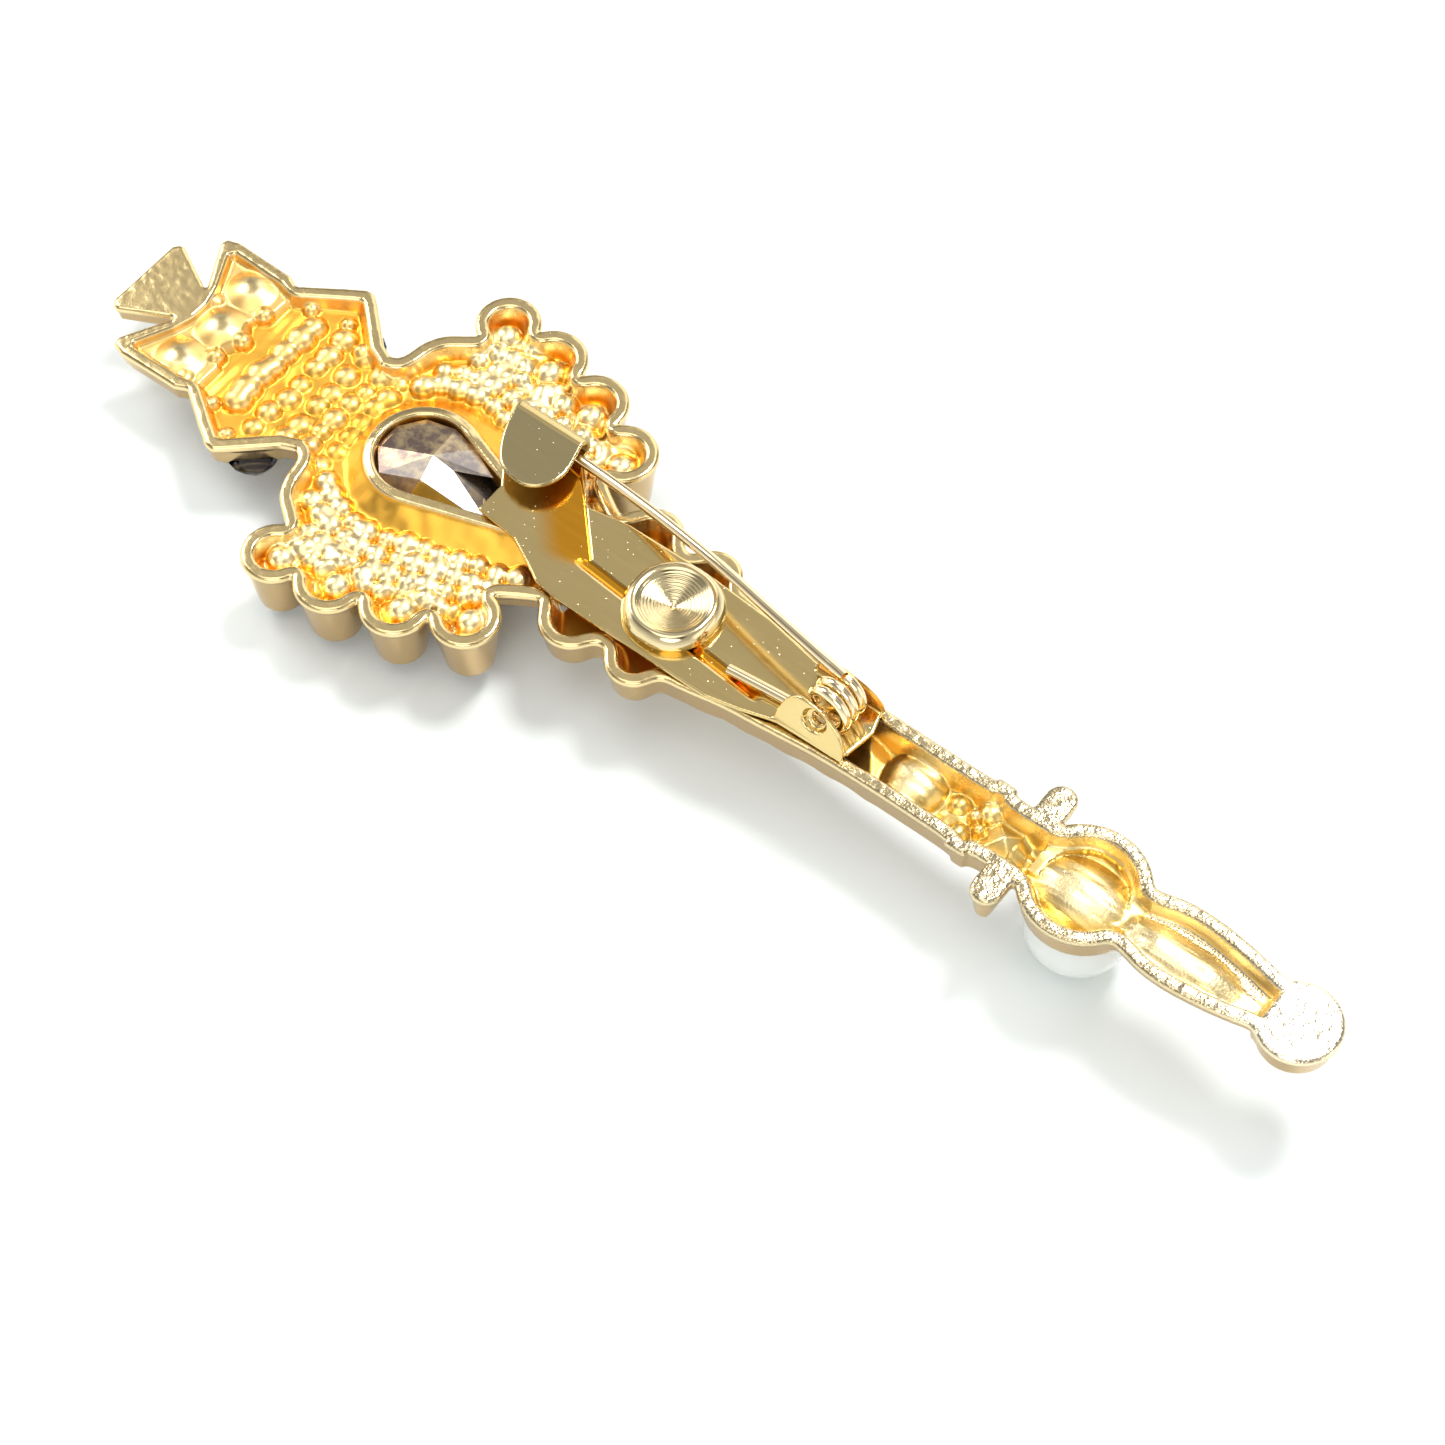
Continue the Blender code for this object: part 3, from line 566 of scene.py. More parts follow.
def table_top():
    paint = Paint("pale_table", (0.9, 0.9, 0.9), 0.55)
    paint.clouds(60.0, 3.0, (0.835, 0.88, 0.87), (0.86, 0.90, 0.89))
    paint.gloss(1.0, 4.0, 0.5, 0.65)
    return paint.material


# --- the casting ---

def body_outline(plan):
    """The casting's outline but for the two nubs and the disc, which are not hollow."""
    wall = plan.outline(CROSS_TOP)
    for points, blend in ((CROSS_ARMS, 0.12), (CROWN, 0.25), (WINGS, 0.5), (STAFF, 0.3), (PETAL, 0.3)):
        wall = soft_min(wall, plan.outline(points), blend)
    for rounds, blend in ((LOBES, 0.3), (BULGES, 0.9)):
        for side, u, v, radius in rounds:
            wall = soft_min(wall, plan.circle(u, v, radius), blend)
    return soft_min(wall, plan.circle(CUP_U, 0.0, CUP_RADIUS), 0.5)


def solid_ends(plan, wall):
    wall = soft_min(wall, plan.circle(DISC_U, 0.0, DISC_RADIUS), 0.4)
    nub = np.hypot(plan.u - NUB_U, np.maximum(np.abs(plan.v) - NUB_V, 0.0)) - NUB_RADIUS
    return soft_min(wall, nub, 0.25)


def hollow_outline(plan, wall):
    """The hollow in the crown, and behind it a hollow inside a rim of even width."""
    crown = soft_min(plan.outline(CROSS_HOLLOW), plan.outline(CROWN_HOLLOW), 0.5)
    behind = RIM_WIDTH - plan.depth_inside(wall)
    return soft_min(crown, np.where(plan.u > CROWN_END, behind, 9.0), 0.3).astype(np.float32)


def floor_relief(plan, wall):
    """The height of the hollow's floor, with the backs of the stone seats raised on it."""
    u, v = plan.u, plan.v
    side = np.abs(v)
    rows = np.random.default_rng(7)

    def knobs(places, radius, top, rise, blend):
        for knob in places:
            plan.pillow(floor, *knob, radius, top, rise, blend)

    floor = -1.25 + 0.06 * plan.ripple(1.3, 1.3, 1)
    floor += 0.55 * ease(9.5, 9.0, u)   # the cross, and then the crown
    floor += (0.12 * plan.ripple(1.9, 1.9, 11) - 0.1) * ease(9.5, 10.5, u) * ease(21.0, 19.0, u)
    for pocket_v in (1.5, -1.5):
        pocket = plan.circle(9.5, pocket_v, 1.3)
        floor -= 0.55 * ease(0.1, -0.25, pocket) * ease(9.5, 9.0, u)
    knobs(CROSS_STONES, 2.2, -0.12, 1.45, 0.45)
    knobs([(4.9, 1.6), (8.6, 2.9), (8.3, -2.2), (8.9, 0.1), (7.9, -5.0)], 0.75, -0.35, 0.7, 0.25)

    bars = [(12.1, 1.4, 4.2, 1.1, 0.9), (14.8, 1.7, 5.1, 1.0, 0.55), (17.1, 1.8, 4.5, 0.95, 0.45),
            (19.0, 1.55, 3.9, 0.9, 0.5), (20.8, 1.5, 4.5, 0.9, 0.5)]
    for row_u, pitch, reach, radius, rise in bars:
        for row_v in np.arange(-reach, reach + 0.01, pitch):
            du, dv, lift = rows.uniform(-0.22, 0.22, 3)
            plan.pillow(floor, row_u + du, row_v + dv, radius + 0.5 * lift, -1.35 + rise + 0.6 * lift,
                        0.75 * radius, 0.45)
    knobs([(14.0, 6.2), (13.6, -6.9), (16.4, 4.9), (10.9, 5.6), (10.8, -5.4)], 0.7, -0.7, 0.7, 0.2)

    ramp = plan.outline(drop(0.9))   # the wings, round the drop
    fall = 0.8 - 0.38 * ease(23.0, 31.0, u)
    bank = -0.4 - fall * ramp + 0.09 * plan.ripple(1.1, 1.1, 8)
    floor -= 0.2 * ease(19.0, 22.0, u) * ease(42.0, 40.0, u)
    floor = soft_max(floor, np.where(ramp < 2.4, bank, -9.0), 0.3)
    for margin in np.arange(3.6, 9.8, 1.4):
        for sign in (1.0, -1.0):
            for place_u, place_v in drop_row(margin, 1.45):
                du, dv, lift = rows.uniform(-0.16, 0.16, 3)
                i = int((place_u - plan.low[0]) / plan.pitch)
                j = int((sign * place_v - plan.low[1]) / plan.pitch)
                if wall[i, j] < -0.4 and place_u > 21.3:
                    plan.pillow(floor, place_u + du, sign * place_v + dv, 0.92 + 0.8 * lift,
                                -0.77 + 0.7 * lift, 0.7, 0.45)

    for name, lobe_u, lobe_v, radius in LOBES:
        cup = plan.circle(lobe_u, lobe_v, radius - 0.9)
        floor -= 0.45 * ease(0.3, -0.9, cup)
        inward = -np.sign(lobe_v)
        knobs([(lobe_u + 0.1, lobe_v + 0.45 * inward)], 1.15, -0.6, 1.0, 0.3)
        knobs([(lobe_u - 1.0, lobe_v + 2.3 * inward)], 0.8, -0.55, 0.8, 0.25)
        knobs([(lobe_u + 0.9, lobe_v + 2.2 * inward)], 0.8, -0.6, 0.8, 0.25)

    floor -= 0.75 * ease(41.5, 42.5, u) * ease(83.2, 82.6, u)   # the staff
    roof = -1.2 - 0.4 * np.abs(0.8 * (u - 67.5) + 0.6 * (v + 0.3)) - 0.25 * side
    floor = soft_max(floor, np.where((u > 64.0) & (u < 70.5), roof, -9.0), 0.06)
    knobs([(70.9, 0.1)], 2.45, -0.8, 1.3, 0.3)
    floor += 0.07 * plan.ripple(1.8, 0.4, 13) * ease(68.5, 69.5, u) * ease(73.2, 72.4, u)
    floor += 0.18 * plan.ripple(0.9, 0.9, 12) * ease(72.5, 73.5, u) * ease(77.5, 76.5, u)
    for *knob, radius, top in ((74.4, 0.7, 0.9, -1.35), (75.6, -1.2, 0.8, -1.2), (76.6, 1.3, 1.0, -1.0),
                               (75.9, 0.4, 0.5, -0.95), (76.7, -0.3, 0.45, -1.1)):
        knobs([knob], radius, top, radius, 0.3)
    pyramid = -0.85 - 0.62 * np.maximum(np.abs(u - 78.6 + 0.15 * v), side)
    floor = soft_max(floor, np.where(np.abs(u - 78.6) < 2.4, pyramid, -9.0), 0.05)
    fan = np.hypot(u - 83.0, v)
    floor = np.where((u > 79.5) & (u < 82.8) & (side < 3.2),
                     floor + 0.15 * np.cos(12.0 * np.arctan2(v, 83.0 - u)) * ease(0.3, 1.5, fan), floor)

    around_cup = np.hypot(u - CUP_U, v)   # the cup and the petal
    streaks = plan.ripple(2.6, 0.36, 3) + 0.5 * plan.ripple(1.3, 0.22, 9)
    bead = np.hypot((u - CUP_U - 0.1) / 4.7, (v + 0.15) / 2.85)
    dome = -0.62 - 1.3 * bead ** 2.2 + 0.07 * streaks
    step = np.where((around_cup > 3.15) & (v > -1.0), -1.15, -1.85) + 0.05 * plan.ripple(0.8, 0.8, 4)
    in_cup = (around_cup < 4.1) | ((u > 81.6) & (u < 88.8))
    floor = np.where(in_cup, soft_max(np.where(bead < 1.05, dome, -9.0), step, 0.1), floor)
    petal = ease(88.7, 89.5, u)
    rib_height = -0.36 - 0.75 * ease(95.0, 98.6, u) - 0.35 * ease(91.5, 89.5, u)
    rib = rib_height - 0.30 * (v + 0.55) ** 2 + 0.06 * streaks
    floor = np.where(u > 88.7, soft_max(rib, -1.2, 0.15) * petal + floor * (1.0 - petal), floor)
    return floor.astype(np.float32)


def face_depth(plan):
    """How far the front face lies below the rims, with the settings raised on it."""
    u, v = plan.u, plan.v
    depth = np.full(u.shape, 2.0, np.float32)
    depth = np.where(u < 3.4, 1.8, depth)
    depth += 0.2 * ease(9.0, 9.6, u) * ease(19.5, 18.5, u)
    depth += 1.0 * ease(42.6, 43.0, u) * ease(81.0, 80.6, u)
    waves = 0.12 * np.cos(2.0 * pi * (u - 55.4) / 3.3)
    depth += waves * ease(52.0, 54.0, u) * ease(70.0, 69.0, u)
    depth += 0.8 * ease(4.5, 4.2, np.hypot(u - CUP_U, v))
    depth -= 0.6 * ease(88.9, 89.6, u)
    depth += 1.1 * ease(3.1, 2.9, np.hypot(u - DISC_U, v))
    return depth


def seat_list():
    """The round seats that have a raised bead: each centre, and its stone's radius."""
    seats = [(u, v, CROSS_STONE) for u, v in CROSS_STONES]
    seats += [(SHOULDER_U, v, SHOULDER_STONE) for v in (SHOULDER_V, -SHOULDER_V)]
    seats += [(u, v, BULGE_STONE) for side, u, v, radius in BULGES]
    return seats + [(u, v, STAFF_STONE) for u, v in STAFF_STONES]


def frame_casting():
    plan = Plan((HEAD_END - 0.4, -15.9), (TAIL_END + 0.4, 15.9), CASTING_PITCH)
    z_axis = np.arange(-LOBE_DEPTH - 5 * CASTING_PITCH, 3 * CASTING_PITCH, CASTING_PITCH) - 0.03
    body = body_outline(plan)
    inner = hollow_outline(plan, body)
    outer = solid_ends(plan, body)
    floor = floor_relief(plan, inner)
    depth = face_depth(plan)
    well = plan.outline(drop(0.0))
    far = np.full(plan.u.shape, 99.0, np.float32)
    lobes = far
    for side, u, v, radius in LOBES:
        lobes = np.minimum(lobes, plan.circle(u, v, radius))
    beads = far
    for u, v, radius in seat_list():
        beads = np.minimum(beads, np.abs(plan.circle(u, v, radius + 0.18)))
    depth += 0.28 * ease(0.3, 0.1, beads)
    tail = ease(64.0, 70.0, plan.u)
    rim_grain = (0.008 + 0.022 * tail) * plan.ripple(0.36, 0.36, 5)
    rim_grain += 0.012 * plan.ripple(2.4, 2.4, 6) * ease(3.0, 5.0, plan.u)
    seats = [(u, v, 1.35, -LOBE_DEPTH, -4.3) for side, u, v, radius in LOBES]
    seats += [(u, v, CROSS_STONE, FACE, -1.3) for u, v in CROSS_STONES]

    def layer(z):
        down = -z
        inset = 0.14 * ease(0.5, 0.75, down) + 0.135 * max(0.0, down - 0.6)
        solid = soft_max(outer + inset, -depth - z, 0.3)
        posts = soft_max(lobes + inset, -LOBE_DEPTH - z, 0.3)
        solid = np.minimum(solid, posts)
        collar = np.maximum(well - 1.95, np.float32(max(-5.2 - z, z + 1.5)))
        solid = np.minimum(solid, collar)
        solid = soft_max(solid, z - rim_grain, 0.3)
        hollow = soft_max(inner + 0.32 * max(0.0, down), floor - z, 0.25)
        solid = soft_max(solid, -hollow, 0.2)
        ring = soft_max(soft_max(well - 0.9, z + 0.12 - rim_grain, 0.3), np.float32(FACE) - z, 0.1)
        solid = soft_min(solid, ring, 0.12)
        bore = well - (1.45 if z < FACE - 0.35 else 0.0)
        solid = soft_max(solid, -bore, 0.25)
        for u, v, radius, face, bottom in seats:
            if z < bottom:
                solid = np.maximum(solid, -plan.circle(u, v, radius + (face - z) * 1.2))
        return solid

    # The paint's value for each point: orange low in the hollows is painted shade and bounce light, the
    # lumps are paler, the rims rubbed, and the outer walls and front face get painted shade.
    def wear_and_painted_light(points):
        cells, height = plan.cells(points), points[:, 2]
        outside = ease(0.2, 0.5, inner[cells]) * ease(-0.15, -0.5, height)
        front = ease(0.35, 0.15, height + depth[cells])
        banked = ease(2.6, 3.6, well[cells]) * (0.4 + 0.6 * ease(19.0, 22.0, points[:, 0]))
        in_hollow = 0.5 * banked * ease(-1.3, -0.75, height) + 0.5 * ease(-0.35, -0.08, height)
        in_hollow = np.maximum(in_hollow, ease(-0.3, -0.1, height))
        return np.maximum(in_hollow, 1.5 * np.maximum(outside, front))

    sculpted("sculpted_casting", plan, z_axis, layer, cast_gold(), ["frame_casting"], wear_and_painted_light)


# --- the stamped pin plate and its rivet ---

PLATE = [(33.4, -1.6), (37.0, -2.0), (39.0, -3.0), (40.6, -3.9), (42.6, -4.2), (56.0, -4.2),
    (58.6, -3.6), (61.2, -2.8), (65.9, -2.6), (66.7, -2.0), (67.1, 0.5), (66.6, 2.1), (65.4, 2.7),
    (60.5, 2.75), (56.0, 3.6), (50.0, 4.0), (43.0, 3.9), (39.4, 3.3), (37.4, 5.8), (36.6, 6.35),
    (30.6, 6.35), (31.2, 4.0), (33.4, 0.9)]
CATCH_HEAD, CATCH_TAIL, CATCH_V, CATCH_RADIUS = 30.5, 36.6, 6.35, 0.83
TONGUE = [(30.5, 6.35), (31.3, 3.9), (32.6, 1.9), (34.0, 1.2), (35.6, 1.2), (36.8, 2.2), (37.2, 3.9),
    (36.6, 6.35)]
EARS = [(-2.55, 20.0), (2.35, -10.0)]         # the foot's v, and the lean in degrees
EAR_U, EAR_HEIGHT, EAR_ROUNDNESS = 62.7, 2.95, 2.1
CREASE_U, CREASE_V = 39.5, 3.3                # where the crease across the plate starts


def sheet_field(outline, height, middle):
    """A bent sheet: its outline, and how far a point is from its middle surface."""
    return soft_max(outline, np.abs(height - middle) - SHEET / 2, 0.12)


def pressing(plan):
    """How far the plate is pressed down: its long groove, and the dip at its head end."""
    u, v = plan.u, plan.v
    line = v + 0.55 + 0.085 * (u - 42.0)
    press = 0.2 * np.exp(-(line / 0.42) ** 4) * ease(41.0, 42.6, u) * ease(59.5, 58.0, u)
    ahead = (CREASE_U - u - 0.97 * (v - CREASE_V)) / 1.39
    near_side = v + 1.6 + 0.6 * (42.4 - u)
    dip = 0.15 * ease(0.0, 0.22, ahead) * np.clip((4.9 - ahead) / 4.9, 0.0, 1.0)
    dip *= ease(-0.6, 2.2, near_side)
    return np.maximum(press, dip).astype(np.float32)


def pin_plate():
    plan = Plan((29.6, -5.0), (69.6, 8.0), PLATE_PITCH)
    z_axis = np.arange(-0.5, 3.9, PLATE_PITCH)
    flat = plan.outline(PLATE)
    tongue = plan.outline(smooth_route(TONGUE, 4))
    bend = -pressing(plan)
    low = PLATE_TOP - SHEET / 2
    fold_z = low + CATCH_RADIUS
    high = fold_z + CATCH_RADIUS
    u, v = plan.u, plan.v
    along = np.maximum(CATCH_HEAD - u, u - CATCH_TAIL)

    def ear(z, foot_v, lean):
        tilt = radians(lean)
        across = (v - foot_v) * cos(tilt) - (z - PLATE_TOP) * sin(tilt)
        up = (v - foot_v) * sin(tilt) + (z - PLATE_TOP) * cos(tilt)
        eye_up = up - COIL_Z + PLATE_TOP + 0.25
        inward = 1.0 if foot_v < 0.0 else -1.0
        push = inward * 0.5 * ease(1.0, 0.7, np.hypot((u - COIL_U + 0.3) / 1.1, eye_up))
        arch = np.abs(u - EAR_U) / np.where(u < EAR_U, 1.75, 4.0)
        bow = np.maximum(up, 0.0) ** EAR_ROUNDNESS / EAR_HEIGHT ** EAR_ROUNDNESS
        shape = (arch ** EAR_ROUNDNESS + bow) ** (1.0 / EAR_ROUNDNESS)
        shape = soft_max((shape - 1.0) * 2.4, -up - 0.25, 0.1)
        eye = 0.55 - np.hypot(u - COIL_U + 0.25, eye_up)
        return soft_max(soft_max(shape, np.abs(across - push) - SHEET / 2, 0.14), eye, 0.1)

    def layer(z):
        solid = sheet_field(flat, z, low + bend)
        solid = soft_min(solid, sheet_field(tongue, z, high), 0.05)
        fold = np.abs(np.hypot(v - CATCH_V, z - fold_z) - CATCH_RADIUS) - SHEET / 2
        fold = soft_max(np.maximum(fold, CATCH_V - 0.05 - v), along, 0.1)
        solid = np.minimum(solid, fold)
        for foot_v, lean in EARS:
            solid = soft_min(solid, ear(z, foot_v, lean), 0.25)
        return solid

    # The paint's value: an orange painted reflection where the plate is pressed and, weaker, on the far
    # ear; painted shade on the tongue's top (-0.4) and under it (-1).
    def deep(points):
        point_u, point_v, z = points.T
        pressed = ease(0.02, 0.09, -bend[plan.cells(points)]) * (z < PLATE_TOP + 0.1)
        ears = ease(0.9, 1.3, z) * (point_v > 0.0) * (point_u > 60.0)
        catch = point_u < CATCH_TAIL + 1.0
        under = catch & (z > low + 0.4) & (z < high)
        tongue_top = catch & (z >= high) & (point_v < 6.2)
        return np.where(under, -1.0, np.where(tongue_top, -0.4, np.maximum(pressed, 0.8 * ears)))

    sculpted("stamped_pin_plate", plan, z_axis, layer, stamped_gold(), ["pin_plate"], deep)


def rivet_stud():
    reach = STUD_SIZE / 2
    plan = Plan((RIVET_U - reach - 0.2, RIVET_V - reach - 0.2),
                (RIVET_U + reach + 0.2, RIVET_V + reach + 0.2), STUD_PITCH)
    low = PLATE_TOP + 0.05
    high = PLATE_TOP + GAP + 1.2
    z_axis = np.arange(low - 0.2, high + 0.2, STUD_PITCH)
    corner, ring_pitch = 3.35, 0.24
    du, dv = np.abs(plan.u - RIVET_U), np.abs(plan.v - RIVET_V)
    edge = np.hypot(np.maximum(du - reach + corner, 0.0), np.maximum(dv - reach + corner, 0.0)) - corner
    radius = np.hypot(du, dv)
    rings = 0.02 * np.cos(2.0 * pi * radius / ring_pitch) * ease(2.9, 2.2, radius)
    cone = 1.0 - np.clip(radius / 2.95, 0.0, 1.0)
    bowl = 0.95 * cone ** 0.9 * ease(3.0, 2.3, radius) + 0.12 * ease(0.35, 0.0, radius)
    roll = 0.75 * np.clip((edge + 0.75) / 0.75, 0.0, 1.0) ** 2
    top = high - 0.05 - bowl - roll + rings

    def layer(z):
        tuck = 0.35 * ease(low + 0.45, low, z)
        return soft_max(soft_max(edge + tuck, z - top, 0.35), low - z, 0.1)

    sculpted("turned_rivet_cap", plan, z_axis, layer, turned_gold(), ["rivet_stud"])


# --- the spring pin ---

def swept_wire(name, stops, radii, body, nodes):
    """A round wire along a route, its radius given at each of its points."""
    sides = 20
    route = [at(*stop) for stop in stops]
    bm = bmesh.new()
    rings, normal = [], None
    for n, point in enumerate(route):
        along = (route[min(n + 1, len(route) - 1)] - route[max(n - 1, 0)]).normalized()
        if normal is None:
            normal = along.orthogonal().normalized()
        normal = (normal - along * normal.dot(along)).normalized()
        other = along.cross(normal)
        ring = []
        for step in range(sides):
            turn = 2.0 * pi * step / sides
            offset = normal * cos(turn) + other * sin(turn)
            ring.append(bm.verts.new(point + offset * radii[n] * MM))
        rings.append(ring)
    join_rings(bm, rings)
    bm.faces.new(rings[0][::-1])
    bm.faces.new(rings[-1])
    finish_bmesh(bm, name, WIRE_GOLD, nodes, body, smooth=True)


HELIX_START_V, HELIX_END = -1.1, 900


def on_helix(turn):
    """A point on the coil; the turn is in degrees from its bottom at the tail of the wire."""
    angle = radians(turn)
    v = HELIX_START_V + (STEM_V - HELIX_START_V) * (turn / HELIX_END) ** 1.08
    return (COIL_U + COIL_RADIUS * sin(angle), v, COIL_Z - COIL_RADIUS * cos(angle))


def spring_wire():
    """The wire in three pieces: its tail on the plate, the turns that wind up, the stem."""
    bottom, top = COIL_Z - COIL_RADIUS, COIL_Z + COIL_RADIUS
    straight = smooth_route([(56.2, -1.7, bottom), (58.4, -1.48, bottom), (60.6, -1.28, bottom),
                             (62.8, HELIX_START_V - 0.03, bottom)], 6)
    tail = straight + [on_helix(turn) for turn in range(0, 301, 6)]
    swept_wire("spring_wire_tail", tail, [WIRE] * len(tail), "brooch", ["spring_tail"])

    turns = [on_helix(turn) for turn in range(400, HELIX_END + 1, 6)]
    swept_wire("spring_wire_turns", turns, [WIRE] * len(turns), "coil", ["spring_coil"])

    stops = [(COIL_U - 0.14, STEM_V, top), (62.9, STEM_V + 0.2, top), (61.4, STEM_V + 0.42, top),
             (57.0, 2.3, top - 0.1), (53.0, 3.1, 3.75), (49.5, 3.75, 3.4), (45.0, 4.55, 2.75),
             (41.0, 5.2, 2.05), (36.8, 5.75, 1.35), (34.0, 5.9, 1.23), (31.6, 5.92, 1.23)]
    route = smooth_route(stops, 10)
    tip_u, point_length = stops[-1][0], 5.5
    radii = [WIRE * min(1.0, 0.12 + 0.88 * (u - tip_u) / point_length) for u, v, z in route]
    swept_wire("spring_wire_stem", route, radii, "stem", ["pin_stem"])


# --- stones and pearl ---

def new_ring(bm, u, v, z, radius, count, offset=0.0):
    """A ring of new points; the offset turns it by a share of its pitch."""
    ring = []
    for n in range(count):
        angle = 2.0 * pi * (n + offset) / count
        ring.append(bm.verts.new(at(u + radius * cos(angle), v + radius * sin(angle), z)))
    return ring


def brilliant(node, u, v, face, radius, height, paint, slot, folds=8, point=0.35):
    """A round cut stone, table down: crown kites and stars, girdle, pavilion mains."""
    girdle = face - GAP
    edge = girdle - 0.15
    bm = bmesh.new()
    table = new_ring(bm, u, v, girdle - height, radius * 0.58, folds, 0.5)
    kite = new_ring(bm, u, v, edge - (height - 0.15) * 0.55, radius * 0.80, folds)
    lower = new_ring(bm, u, v, edge, radius, 2 * folds)
    upper = new_ring(bm, u, v, girdle, radius, 2 * folds)
    waist = new_ring(bm, u, v, girdle + point * 0.45, radius * 0.6, folds, 0.5)
    culet = bm.verts.new(at(u, v, girdle + point))
    bm.faces.new(table)
    for n in range(folds):
        after = (n + 1) % folds
        bm.faces.new((table[n - 1], table[n], kite[n]))
        bm.faces.new((table[n], kite[after], lower[2 * n + 1], kite[n]))
        bm.faces.new((kite[n], lower[2 * n + 1], lower[2 * n]))
        bm.faces.new((kite[n], lower[2 * n], lower[2 * n - 1]))
        bm.faces.new((upper[2 * n], upper[2 * n + 1], waist[n]))
        bm.faces.new((upper[2 * n + 1], upper[2 * after], waist[n]))
        bm.faces.new((waist[n], upper[2 * after], waist[after]))
        bm.faces.new((waist[n], waist[after], culet))
    join_rings(bm, [upper, lower])
    finish_bmesh(bm, f"{node}_cut", paint, [node])


def centre_crystal():
    """The drop-shaped crystal: its table in front, and a pavilion of large facets behind."""
    centre_u = PEAR_CENTRE + 1.6
    outline = drop(1.15, 12)
    bm = bmesh.new()
    silvered = bm.faces.layers.float.new("silvered")

    def ring(scale, z):
        return [bm.verts.new(at(centre_u + (u - centre_u) * scale, v * scale, z)) for u, v in outline]

    def facet(corners, cover):
        bm.faces.new(corners)[silvered] = cover

    table, step = ring(0.56, -6.45), ring(0.84, -5.6)
    lower, upper = ring(1.0, -4.75), ring(1.0, -4.35)
    join_rings(bm, [upper, lower, step, table])
    bm.faces.new(table)

    peak = bm.verts.new(at(27.45, 0.35, -0.05))
    # each bend of the pavilion, the outline's corner that it reaches to, and its facet's cover
    knees = [(29.4, 0.3, -0.3, 13, OLIVE), (32.0, 1.7, -0.55, 0, OLIVE), (29.2, 2.9, -0.65, 0, LACQUER),
             (27.0, 3.4, -0.6, 1, LACQUER), (24.7, 2.8, -0.6, 4, LACQUER), (23.35, 1.0, -0.6, 5, LACQUER),
             (23.4, -1.2, -0.6, 7, LACQUER), (25.0, -2.9, -0.7, 8, OLIVE), (27.8, -1.55, -0.7, 11, SILVER)]
    bends = [bm.verts.new(at(u, v, z)) for u, v, z, corner, cover in knees]
    tip = bm.verts.new(at(34.2, -1.3, -1.5))
    for n, (u, v, z, corner, cover) in enumerate(knees):
        after = (n + 1) % len(knees)
        last = knees[after][3]
        if last < corner:
            last += len(upper)
        span = [upper[k % len(upper)] for k in range(corner, last + 1)]
        if cover == SILVER:
            facet((peak, bends[n], tip, bends[after]), SILVER)
            facet((bends[after], tip, span[-1]), OLIVE)
            for a, b in zip([bends[n]] + span, span):
                facet((tip, a, b), GREY)
            continue
        facet((peak, bends[n], bends[after]), cover)
        for a, b in zip(span, span[1:]):
            facet((bends[n], a, b), cover)
        facet((bends[n], span[-1], bends[after]), cover)
    finish_bmesh(bm, "drop_crystal_cut", foiled_crystal(), ["centre_crystal"])


def pearl():
    """A ball, with a slight dent on top where it is drilled."""
    bm = bmesh.new()
    steps, slices, dent = 48, 96, 0.05
    levels = []
    for n in range(1, steps):
        polar = pi * n / steps
        levels.append(new_ring(bm, CUP_U, 0.0, -PEARL_DEPTH - PEARL_RADIUS * cos(polar),
                               PEARL_RADIUS * sin(polar), slices))
    low = bm.verts.new(at(CUP_U, 0.0, -PEARL_DEPTH - PEARL_RADIUS))
    high = bm.verts.new(at(CUP_U, 0.0, -PEARL_DEPTH + PEARL_RADIUS - dent))
    join_rings(bm, levels)
    for n in range(slices):
        after = (n + 1) % slices
        bm.faces.new((low, levels[0][after], levels[0][n]))
        bm.faces.new((high, levels[-1][n], levels[-1][after]))
    finish_bmesh(bm, "pearl_ball", nacre(), ["pearl"], smooth=True)


def set_stones():
    def clear(node, u, v, face, radius, height, **more):
        brilliant(node, u, v, face, radius, height, CLEAR, "clear_crystal", **more)

    def row(kind, places, *size, **more):
        for number, (u, v) in enumerate(places, start=1):
            clear(f"{kind}_{number}", u, v, *size, **more)

    def across(u, count):
        return [(u, 1.5 * (n - (count - 1) / 2)) for n in range(count)]

    for side, u, v, radius in LOBES:
        clear(f"lobe_stone_{side}", u, v, -LOBE_DEPTH, 1.3, 0.9, point=0.6)
    row("cross_stone", CROSS_STONES, FACE, CROSS_STONE, 1.1, point=0.6)
    for side, v in (("left", SHOULDER_V - 0.5), ("right", -SHOULDER_V)):
        brilliant(f"shoulder_stone_{side}", SHOULDER_U, v, CROWN_FACE, SHOULDER_STONE, 1.5, SMOKY,
                  "smoky_crystal")
    row("crown_stone", across(12.0, 7), CROWN_FACE, 0.6, 0.6, folds=6)
    row("crown_band_stone", across(14.8, 5), CROWN_FACE, 0.6, 0.6, folds=6)
    for side, u, v, radius in BULGES:
        clear(f"bulge_stone_{side}", u, v, STAFF_FACE, BULGE_STONE, 0.9)
    row("staff_stone", STAFF_STONES, STAFF_FACE, STAFF_STONE, 0.9)
    row("collar_stone", across(76.1, 3), STAFF_FACE, 0.6, 0.6, folds=6)
    clear("square_stone", 78.8, 0.0, STAFF_FACE, 1.3, 0.9, folds=4)
    for side, u, v in both_sides(drop_side(3.0, 70.0, 2, 2.7, 4)):
        clear(f"wing_stone_{side}", u, v, FACE, 0.7, 0.65, folds=6)


